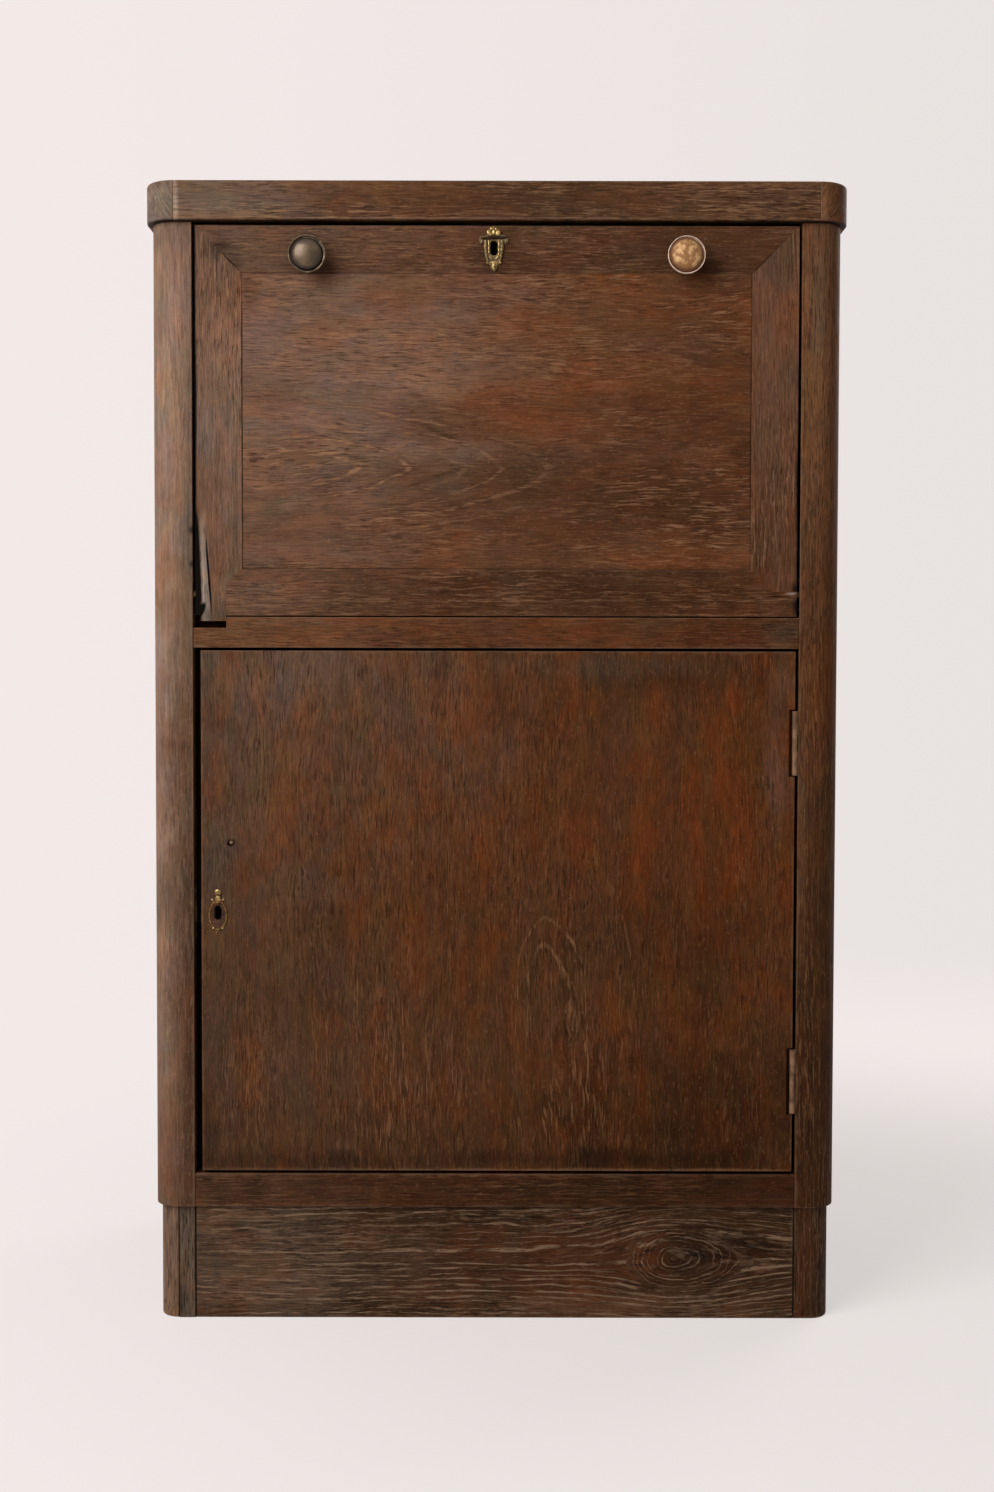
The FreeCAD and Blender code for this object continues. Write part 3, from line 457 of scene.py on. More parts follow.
class Knot(Effect):
    """A knot: it pushes the fibres aside and has round rings of its own."""

    title = "Knot"
    takes = {
        "Place": (0, 0, 0),
        "Along": 0.0,
        "Across": 0.0,
        "Length": 0.05,
        "Width": 0.03,
        "Count": 6.0,
    }
    DRAWN_OUT = 0.36
    RAGGED = 0.18
    FALL_OFF = -0.45
    PUSH = -0.85
    EDGE = (1.1, 0.95)

    def wire(self) -> dict[str, Value]:
        """Wires an oval distance from the knot's middle, roughened by noise.

        Returns:
            The push, the rings and the masks by name.
        """
        graph, taken = self.graph, self.taken
        along, across, _ = graph.split(taken["Place"])
        ragged = graph.noise(taken["Place"], (55, 95, 95), 3.0)
        aside = across - taken["Across"]
        far = (along - taken["Along"]) / taken["Length"]
        far = far - graph.math("MAXIMUM", far, 0.0) * self.DRAWN_OUT
        side = aside / taken["Width"]
        spread = far * far + side * side
        reach = graph.math("SQRT", spread) + (ragged * self.RAGGED - self.RAGGED / 2)
        bell = graph.math("EXPONENT", spread * self.FALL_OFF)
        return {
            "Push": aside * bell * self.PUSH,
            "Rings": reach * taken["Count"],
            "Mask": graph.step(reach, *self.EDGE),
            "Calm": bell,
        }


class EdgeWear(Effect):
    """Rubbed arrises: a ragged mask along the edges of a board's box."""

    title = "Edge wear"
    takes = {"Place": (0, 0, 0), "Low": (0, 0, 0), "High": (1, 1, 1), "Reach": 0.004}

    def wire(self) -> dict[str, Value]:
        """Wires the distance to the nearest edge, which is the middle one of three wall distances.

        Returns:
            The mask.
        """
        graph, taken = self.graph, self.taken
        near = graph.vector("SUBTRACT", taken["Place"], taken["Low"])
        far = graph.vector("SUBTRACT", taken["High"], taken["Place"])
        wall = graph.split(graph.vector("MINIMUM", near, far))
        least = graph.math("MINIMUM", wall[0], wall[1])
        most = graph.math("MAXIMUM", wall[0], wall[1])
        edge = graph.math("MAXIMUM", least, graph.math("MINIMUM", most, wall[2]))
        ragged = graph.step(graph.noise(taken["Place"], (70, 70, 70), 3.0), 0.3, 0.72)
        reach = taken["Reach"] * (ragged * 0.9 + 0.1)
        return {"Mask": 1.0 - graph.step(edge, 0.0, reach)}


class SoftPatch(Effect):
    """A ragged soft oval, for soiled, sun-faded and rubbed places, and for painted shade, shadows,
    highlights and sheen.
    """

    title = "Soft patch"
    takes = {
        "Place": (0, 0, 0),
        "Middle": (0, 0, 0),
        "Reach": (1, 1, 1),
        "Lean": 0.0,
        "Ragged": 1.4,
    }

    def wire(self) -> dict[str, Value]:
        """Wires a bell of the distance, sheared by the lean and broken up by noise.

        Returns:
            The mask.
        """
        graph, taken = self.graph, self.taken
        aside, deep, high = graph.split(graph.vector("SUBTRACT", taken["Place"], taken["Middle"]))
        aside = aside - high * taken["Lean"]
        away = graph.vector("DIVIDE", graph.join(aside, deep, high), taken["Reach"])
        ragged = graph.noise(taken["Place"], (19, 19, 19), 5.0, 0.6) - 0.5
        distance = ragged * taken["Ragged"] + graph.vector("LENGTH", away)
        return {"Mask": graph.step(distance, 1.05, 0.1)}


class Tarnish(Effect):
    """Dark film and bright rubbed spots on old metal."""

    title = "Tarnish"
    takes = {"Place": (0, 0, 0), "Scale": 180.0, "Cover": 0.5}
    BARE = 0.62
    SOFTNESS = 0.22
    PITS = (0.58, 0.72)

    def wire(self) -> dict[str, Value]:
        """Wires a patchy film and fine pits.

        Returns:
            The two masks.
        """
        graph, taken = self.graph, self.taken
        scaled = graph.scale(taken["Place"], taken["Scale"])
        film = graph.noise(scaled, (1, 1, 1), 4.0)
        low = self.BARE - taken["Cover"] * 0.5
        pits = graph.step(graph.noise(scaled, (7, 7, 7)), *self.PITS)
        return {"Mask": graph.step(film, low, low + self.SOFTNESS), "Pits": pits}


@dataclass(frozen=True)
class EffectKit:
    """One of each shared effect."""

    grain: OakGrain
    knot: Knot
    wear: EdgeWear
    patch: SoftPatch
    tarnish: Tarnish


@dataclass(frozen=True)
class OakFinish:
    """Colours, as a screen shows them, and strengths of one oak finish."""

    title: str
    slot: Slot
    brown: Rgb
    warm: Rgb
    dark: Rgb
    cold: Rgb
    olive: Rgb
    ember: Rgb
    pale: Rgb
    pore: Rgb
    worn: Rgb
    light: float = 1.0
    tone: float = 0.85
    blotches: float = 0.55
    bands: float = 0.35
    rings: float = 0.18
    streaks: float = 0.17
    mottle: float = 0.12
    lines: float = 0.22
    dashes: float = 0.6
    pores: float = 0.6
    flecks: float = 0.25
    wear: float = 0.4
    wear_reach: float = 5 * MM
    roughness: float = 0.56
    specular: float = 0.06
    relief: float = 0.5
    arris: float = 0.7 * MM


STAINED = OakFinish(
    title="stained oak", slot=Slot.OAK_OUT,
    brown=(86, 53, 32), warm=(94, 53, 28), dark=(56, 34, 20), cold=(78, 54, 45), olive=(82, 58, 36),
    ember=(100, 54, 29), pale=(138, 100, 72), pore=(32, 20, 12), worn=(126, 95, 72),
)
TOPMOST = replace(
    STAINED, title="stained oak top",
    brown=(90, 59, 39), warm=(96, 60, 36), dark=(62, 40, 26), cold=(84, 60, 48), olive=(96, 68, 44),
    ember=(100, 62, 38), pale=(148, 112, 80), pore=(42, 26, 15),
    streaks=0.22, dashes=0.68, pores=0.7,
)
FADED = replace(
    STAINED, title="faded oak",
    brown=(98, 67, 48), warm=(104, 66, 42), dark=(72, 48, 33), cold=(90, 65, 52), olive=(92, 69, 49),
    ember=(110, 70, 46), pale=(156, 122, 98), pore=(44, 29, 20),
    dashes=0.24, pores=0.34, bands=0.45, blotches=0.6,
)
AMBER = replace(
    FADED, title="amber oak",
    brown=(92, 56, 31), warm=(98, 56, 26), dark=(60, 36, 19), cold=(80, 52, 34), olive=(88, 60, 33),
    ember=(104, 58, 28), pale=(140, 100, 66),
    streaks=0.22, dashes=0.45, pores=0.65,
)
FLUSH = replace(
    STAINED, title="stained oak panel",
    brown=(98, 65, 45), warm=(106, 64, 38), dark=(70, 46, 31), cold=(92, 66, 54), olive=(92, 68, 46),
    ember=(116, 68, 42), pale=(154, 114, 84), pore=(46, 28, 17),
    blotches=0.42, wear=0.12, specular=0.03, arris=0.2 * MM,
)
BAND = replace(FLUSH, title="stained oak band", light=0.86, dashes=0.42)
SMOOTH = replace(
    STAINED, title="smooth stained oak",
    brown=(82, 51, 30), warm=(88, 50, 24), dark=(56, 34, 19), cold=(73, 48, 34), olive=(79, 54, 28),
    ember=(100, 51, 22), pale=(134, 95, 64),
    dashes=0.28, streaks=0.19, lines=0.24, rings=0.16, pores=0.6, flecks=0.3, bands=0.34, blotches=0.5,
    mottle=0.17, specular=0.04,
)
RAIL = replace(
    SMOOTH, title="smooth oak rail",
    brown=(88, 54, 33), warm=(95, 54, 29), dark=(62, 39, 23), cold=(82, 55, 40), olive=(86, 60, 38),
    ember=(104, 56, 31),
    dashes=0.36, streaks=0.22,
)
LIMED = replace(
    STAINED, title="rubbed oak",
    brown=(57, 39, 25), warm=(63, 39, 22), dark=(36, 24, 14), cold=(54, 38, 25), olive=(57, 41, 24),
    ember=(68, 40, 20), pale=(138, 111, 87), pore=(20, 12, 6), worn=(118, 94, 76),
    lines=1.0, dashes=0.7, pores=0.75, streaks=0.24, bands=0.5,
)
PLAIN_FOOT = replace(LIMED, title="plain rubbed oak", lines=0.25, dashes=0.4)
INSIDE = OakFinish(
    title="oak inside", slot=Slot.OAK_IN,
    brown=(140, 100, 62), warm=(152, 102, 56), dark=(108, 74, 45), cold=(128, 96, 66),
    olive=(136, 104, 66), ember=(158, 106, 62), pale=(178, 140, 98), pore=(80, 54, 34),
    worn=(170, 134, 96),
    wear=0.2,
)
FILLER = replace(
    STAINED, title="old filler",
    brown=(132, 106, 84), warm=(140, 112, 88), dark=(90, 70, 54), cold=(118, 96, 78),
    olive=(126, 104, 80), ember=(138, 108, 82),
    wear=0.0,
)
PLY = replace(
    INSIDE, title="back ply", slot=Slot.PLY,
    brown=(140, 104, 70), warm=(146, 100, 62), dark=(108, 80, 54), cold=(126, 98, 70),
    pale=(172, 138, 100), pore=(92, 66, 46), worn=(166, 136, 102),
    rings=0.5, dashes=0.2, blotches=0.3,
)


class Tone(Enum):
    """The tone of a soft patch, as a screen shows it."""

    ASH = (166, 133, 112)
    # Greyed, worn wood; on the left-hand parts it is also partly a painted sheen from the light on that
    # side.
    GREY = (126, 98, 81)
    # Dusty grey; over the left-hand parts, at low shares, it is also a painted sheen from the light on that
    # side.
    DUST = (132, 115, 102)
    SLATE = (76, 64, 52)
    RED = (102, 51, 22)
    # Near black: dark joints, cracks and soiling, and also painted shade in the gaps between parts and
    # painted shadows round the knobs and the keyhole plate.
    DIRT = (12, 8, 5)
    DARK = (50, 28, 12)
    # Sun-faded and worn pale wood, and also painted highlights and painted light, as on the right post and
    # the top's right corner.
    SUN = (124, 88, 62)
    # Raw wood in splits and chips; at the top's left corner it is a painted highlight.
    SPLIT = (186, 166, 148)


@dataclass(frozen=True)
class Area:
    """A soft oval on a board's face: its middle and how far it reaches, in metres."""

    x: float
    z: float
    wide: float
    high: float


@dataclass(frozen=True)
class Patch(Area):
    """An area of another tone."""

    tone: Tone
    share: float
    lean: float = 0.0
    ragged: float = 1.4


Patches = tuple[Patch, ...]


@dataclass(frozen=True)
class Figure(Area):
    """An area where a board's growth rings or dashes stand out, and how much."""

    strength: float


@dataclass(frozen=True)
class KnotMark:
    """A knot in a board: its place along and across the grain, its reach and its rings."""

    along: float
    across: float
    length: float
    width: float
    count: float


@dataclass(frozen=True)
class Arch:
    """Nested arches of a flat-sawn board.

    They lie about a middle across the grain, start at a foot along it and are drawn out by the tilt.
    """

    middle: float
    foot: float
    tilt: float


@dataclass(frozen=True)
class Board:
    """One wooden CAD node and how it is dressed."""

    node: str
    grain: Grain
    finish: OakFinish = STAINED
    spacing: float = 7 * MM
    wander: float = 18 * MM
    patches: Patches = ()
    arch: Arch | None = None
    figure: Figure | None = None
    dry: Figure | None = None
    knot: KnotMark | None = None
    slant: float = 0.0


class Surface:
    """A material in the making."""

    def __init__(self, title: str) -> None:
        """Starts the material with its tree, its shader and the place in the row frame.

        Args:
            title: The material's name.
        """
        self.data = bpy.data.materials.new(title)
        self.data.use_nodes = True
        self.graph = Graph(self.data.node_tree)
        self.shader = self.data.node_tree.nodes["Principled BSDF"]
        self.here = self.graph.coordinate("Object")

    def paint(self, terms: dict[str, Term]) -> None:
        """Feeds the shader's inputs by name."""
        for name, term in terms.items():
            self.graph.feed(self.shader.inputs[name], term)

    def bump(self, height: Value, strength: float, distance: float, invert: bool = False) -> Value:
        """Turns heights into a normal."""
        inputs = {"Height": height, "Strength": strength, "Distance": distance}
        return self.graph.value("ShaderNodeBump", inputs, "Normal", invert=invert)


class OakSurface(Surface):
    """The material of one board."""

    FAR_PITH = -3.0
    SHINE = (-0.06, 0.1)
    LINE_HEIGHT = 1.4
    PORE_DEPTH = 1.2
    RELIEF = 0.3 * MM

    def __init__(self, board: Board, kit: EffectKit, seed: int) -> None:
        """Makes the material.

        Args:
            board: The board.
            kit: The shared effects.
            seed: Gives the board a cut of its own.
        """
        super().__init__(f"{board.finish.title} {board.node}")
        self.board = board
        self.kit = kit
        self.low, self.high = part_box(board.node)
        finish = board.finish
        place = self.place()
        self.grain = kit.grain.use(
            self.graph,
            Place=place,
            Spacing=board.spacing,
            Wander=board.wander,
            Seed=float(seed),
            **self.figure(place),
        )
        rough = [finish.roughness + change for change in self.SHINE]
        height = self.grain["Streaks"] + self.grain["Lines"] * self.LINE_HEIGHT
        height = height - self.grain["Pores"] * self.PORE_DEPTH
        self.paint({
            "Base Color": self.colour(),
            "Roughness": self.graph.blend(self.grain["Streaks"], *rough),
            "Specular IOR Level": finish.specular,
            "Normal": self.bump(height, finish.relief, self.RELIEF),
        })

    def place(self) -> Value:
        """Turns the place in the row frame into one along, across and into the board.

        Returns:
            The place.
        """
        axes = dict(zip("XYZ", self.graph.split(self.here)))
        place = self.graph.join(*(axes[axis] for axis in self.board.grain.value))
        if self.board.slant:
            turn = {"Vector": place, "Angle": math.radians(self.board.slant)}
            place = self.graph.value("ShaderNodeVectorRotate", turn, rotation_type="Z_AXIS")
        return place

    def figure(self, place: Value) -> dict[str, Term]:
        """Gives the grain's inputs for the board's arches and knot.

        Args:
            place: The place along, across and into the board.

        Returns:
            The inputs by name.
        """
        arch, knot = self.board.arch, self.board.knot
        inputs: dict[str, Term] = {"Arch Middle": self.FAR_PITH}
        if arch is not None:
            inputs = {f"Arch {name.title()}": value for name, value in asdict(arch).items()}
        if knot is not None:
            marks = {name.title(): value for name, value in asdict(knot).items()}
            made = self.kit.knot.use(self.graph, Place=place, **marks)
            inputs |= {f"Knot {name}": value for name, value in made.items()}
        return inputs

    def colour(self) -> Value:
        """Lays the finish's colours over each other, from the ground up to the near-black patches of
        joints, soiling and painted shade.

        Returns:
            The wood's colour.
        """
        graph, grain, board, finish = self.graph, self.grain, self.board, self.board.finish
        ground = [self.lit(colour, finish.light) for colour in (finish.brown, finish.warm)]
        shade = self.patched(graph.mix(grain["Tone"] * finish.tone, *ground), darkest=False)
        stains = (
            ("Cold", finish.blotches, finish.cold),
            ("Olive", finish.blotches, finish.olive),
            ("Ember", finish.blotches, finish.ember),
            ("Bands", finish.bands, finish.dark),
        )
        for name, strength, stain in stains:
            change = self.against(tint(*stain), tint(*finish.brown))
            shade = graph.mix(grain[name] * strength, shade, change, "MULTIPLY")
        rings = grain["Rings"]
        lines = grain["Lines"] * finish.lines
        if board.figure is not None:
            shown = self.zone(board.figure)
            rings = rings * shown
            lines = grain["Lines"] * (shown * board.figure.strength)
        swing = graph.blend(grain["Streaks"], 1.0 - finish.streaks, 1.0 + finish.streaks)
        for mask, strength in ((grain["Mottle"], finish.mottle), (rings, finish.rings / 2)):
            swing = swing * graph.blend(mask, 1.0 + strength, 1.0 - strength)
        shade = graph.mix(lines, graph.scale(shade, swing), tint(*finish.pale))
        dashes: Term = finish.dashes
        if board.dry is not None:
            dashes = self.zone(board.dry) * board.dry.strength + finish.dashes
        box = {"Low": tuple(self.low), "High": tuple(self.high)}
        wear = self.kit.wear.use(graph, Place=self.here, Reach=finish.wear_reach, **box)
        layers = (
            (grain["Flecks"], finish.flecks, finish.pale),
            (grain["Dashes"], dashes, finish.pale),
            (grain["Pores"], finish.pores, finish.pore),
            (wear["Mask"], finish.wear, finish.worn),
        )
        for mask, share, layer in layers:
            shade = graph.mix(mask * share, shade, tint(*layer))
        return self.patched(shade, darkest=True)

    def lit(self, colour: Rgb, light: float) -> Colour:
        """A ground colour with so much of its light left."""
        return (*(channel * light for channel in tint(*colour)[:3]), 1.0)

    def against(self, stain: Colour, ground: Colour) -> Colour:
        """How much a stain changes each channel of the wood that it lies on."""
        return tuple(over / under for over, under in zip(stain, ground))

    def zone(self, area: Area, **shape: float) -> Value:
        """Masks an area of the board's face.

        Args:
            area: The area.
            shape: Its lean and raggedness, if not the usual ones.

        Returns:
            One in the area's middle.
        """
        middle = (area.x, self.low.y, area.z)
        reach = (area.wide, ENDLESS, area.high)
        made = self.kit.patch.use(self.graph, Place=self.here, Middle=middle, Reach=reach, **shape)
        return made["Mask"]

    def patched(self, shade: Value, darkest: bool) -> Value:
        """Lays the board's soft patches over a colour.

        Args:
            shade: The colour under them.
            darkest: Whether to lay the near-black patches of joints, soiling and painted shade, or the
                other tones.

        Returns:
            The colour with the patches.
        """
        for patch in self.board.patches:
            if (patch.tone is Tone.DIRT) == darkest:
                mask = self.zone(patch, Lean=patch.lean, Ragged=patch.ragged)
                shade = self.graph.mix(mask * patch.share, shade, tint(*patch.tone.value))
        return shade


def dress(node: str, material: bpy.types.Material, arris: float) -> None:
    """Puts a material on a CAD node and rounds its sharp edges with modifiers; the mesh stays as it is.

    Args:
        node: The node's name.
        material: Its material.
        arris: How wide its edges are rounded.
    """
    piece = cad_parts[node]
    piece.data.materials.clear()
    piece.data.materials.append(material)
    bevel = {"width": arris, "segments": EASE_STEPS, "limit_method": "ANGLE", "angle_limit": EASE_ANGLE}
    modifiers = (
        ("weld", "WELD", {"merge_threshold": WELD}),
        ("flat faces", "DECIMATE", {"decimate_type": "DISSOLVE", "angle_limit": FLAT_ANGLE}),
        ("arris", "BEVEL", {**bevel, "use_clamp_overlap": False}),
        ("normals", "WEIGHTED_NORMAL", {"keep_sharp": False}),
    )
    for name, kind, settings in modifiers:
        modifier = piece.modifiers.new(name, kind)
        for key, value in settings.items():
            setattr(modifier, key, value)
    LOG.info("node %s in %s", node, material.name)


class Carpenter:
    """Gives each board its own cut of oak and its eased edges."""

    def __init__(self, kit: EffectKit) -> None:
        """Keeps the shared effects and counts the boards, so that no two share their grain."""
        self.kit = kit
        self.boards = 0

    def material(self, board: Board) -> bpy.types.Material:
        """Makes the board's own material."""
        self.boards += 1
        return OakSurface(board, self.kit, self.boards).data

    def dress(self, board: Board) -> None:
        """Puts the material and the eased edges on a board's node."""
        dress(board.node, self.material(board), board.finish.arris)


@dataclass(frozen=True)
class MetalFinish:
    """Colours, as a screen shows them, and surface of one old metal."""

    title: str
    slot: Slot
    bright: Rgb
    film: Rgb
    pit: Rgb
    cover: float = 0.55
    scale: float = 160.0
    smooth: float = 0.34
    dull: float = 0.6
    metallic: float = 0.85
    specular: float = 0.4
    # Painted shade: the colour that faces turned away from the front are darkened to, at a dome's edge.
    edge: Rgb | None = None


CAST_BRASS = MetalFinish(
    title="cast brass", slot=Slot.BRASS,
    bright=(184, 158, 106), film=(108, 84, 48), pit=(52, 36, 20),
    cover=0.4, scale=420.0, smooth=0.3, dull=0.5,
)
OLD_BRASS = MetalFinish(
    title="old brass", slot=Slot.BRASS,
    bright=(122, 103, 70), film=(84, 68, 44), pit=(44, 31, 18),
    cover=0.45, scale=380.0, metallic=0.6, specular=0.2,
)
RUBBED_BROWN = replace(OLD_BRASS, title="brown brass", bright=(134, 98, 54), film=(82, 57, 31))
PATINA = MetalFinish(
    title="brown patina", slot=Slot.BRASS,
    bright=(92, 64, 48), film=(66, 45, 33), pit=(34, 23, 16),
    cover=0.5, scale=300.0, metallic=0.1, specular=0.08,
)
DARK_PATINA = replace(PATINA, title="dark patina", bright=(60, 42, 30), film=(40, 27, 19))
DARK_BRASS = MetalFinish(
    title="dark brass", slot=Slot.BRASS,
    bright=(140, 107, 80), film=(98, 73, 53), pit=(66, 48, 35),
    cover=0.5, scale=70.0, metallic=0.35, specular=0.2,
)
STEEL = MetalFinish(
    title="lock steel", slot=Slot.STEEL,
    bright=(124, 118, 110), film=(98, 89, 78), pit=(84, 72, 60),
    cover=0.4, scale=60.0, smooth=0.42,
)
# Near black, as painted shade: the lock face and key pin seen through a keyhole.
KEYHOLE_SHADE = MetalFinish(
    title="black keyhole shade", slot=Slot.STEEL,
    bright=(20, 16, 14), film=(12, 9, 8), pit=(6, 5, 4),
    metallic=0.1, smooth=0.6, dull=0.8, specular=0.02,
)
# The edge colour is painted shade round the knob's dome.
BRONZE = MetalFinish(
    title="dark bronze", slot=Slot.BRONZE,
    bright=(104, 84, 61), film=(70, 55, 39), pit=(50, 39, 28), edge=(54, 43, 31),
    cover=0.45, scale=70.0, metallic=0.25, smooth=0.32, dull=0.44, specular=0.4,
)
BRONZE_RIM = replace(
    BRONZE, title="rubbed bronze rim",
    edge=None, bright=(134, 114, 90), film=(80, 65, 48),
    scale=130.0, cover=0.5, metallic=0.4,
)
SUNK_BRONZE = replace(
    BRONZE, title="sunk bronze",
    bright=(50, 39, 28), film=(36, 28, 20),
    metallic=0.1, specular=0.05,
)
# The edge colour is painted shade round the knob's dome.
WORN_BRASS = MetalFinish(
    title="worn brass", slot=Slot.WORN_BRASS,
    bright=(216, 174, 120), film=(152, 108, 68), pit=(104, 72, 44), edge=(112, 72, 42),
    cover=0.5, scale=190.0, metallic=0.15, smooth=0.5, dull=0.6, specular=0.25,
)
COPPER = replace(
    WORN_BRASS, title="brown copper ring",
    bright=(120, 80, 52), film=(92, 60, 40), pit=(60, 40, 28), edge=None,
    specular=0.1,
)
SILVERED = replace(
    WORN_BRASS, title="rubbed pale rim",
    bright=(246, 224, 204), film=(222, 192, 168), pit=(172, 138, 114), edge=None,
    metallic=0.1,
)


class MetalSurface(Surface):
    """The material of one metal."""

    PIT_SHARE = 0.6
    PIT_DEPTH = 0.1 * MM
    PIT_RELIEF = 0.3
    # The face is all front at the first and all edge at the second.
    EDGE = (-0.96, -0.74)

    def __init__(self, finish: MetalFinish, kit: EffectKit) -> None:
        """Makes the material.

        Args:
            finish: The metal's colours.
            kit: The shared effects.
        """
        super().__init__(finish.title)
        graph = self.graph
        film = kit.tarnish.use(graph, Place=self.here, Scale=finish.scale, Cover=finish.cover)
        shade = graph.mix(film["Mask"], tint(*finish.bright), tint(*finish.film))
        shade = graph.mix(film["Pits"] * self.PIT_SHARE, shade, tint(*finish.pit))
        # Painted shade: faces that turn away from the front are darkened towards the edge colour.
        if finish.edge is not None:
            _, forward, _ = graph.split(graph.coordinate("Normal"))
            shade = graph.mix(graph.step(forward, *self.EDGE), shade, tint(*finish.edge))
        self.paint({
            "Base Color": shade,
            "Roughness": graph.blend(film["Mask"], finish.smooth, finish.dull),
            "Metallic": finish.metallic,
            "Specular IOR Level": finish.specular,
            "Normal": self.bump(film["Pits"], self.PIT_RELIEF, self.PIT_DEPTH, invert=True),
        })


class Smith:
    """Makes the metals and casts pieces of them."""

    EASE = 0.15 * MM

    def __init__(self, kit: EffectKit) -> None:
        """Keeps the shared effects and one material for each finish."""
        self.kit = kit
        self.made: dict[str, bpy.types.Material] = {}

    def material(self, finish: MetalFinish) -> bpy.types.Material:
        """Makes a metal, or gives the one made before.

        Args:
            finish: The metal's colours.

        Returns:
            The material.
        """
        if finish.title not in self.made:
            self.made[finish.title] = MetalSurface(finish, self.kit).data
        return self.made[finish.title]

    def dress(self, node: str, finish: MetalFinish) -> None:
        """Puts a metal and eased edges on a CAD node."""
        dress(node, self.material(finish), self.EASE)

    def cast(self, mould: "Mould", name: str, body: Body, finish: MetalFinish) -> bpy.types.Object:
        """Turns a mould into a piece of one metal."""
        return mould.cast(name, self.material(finish), body, finish.slot)


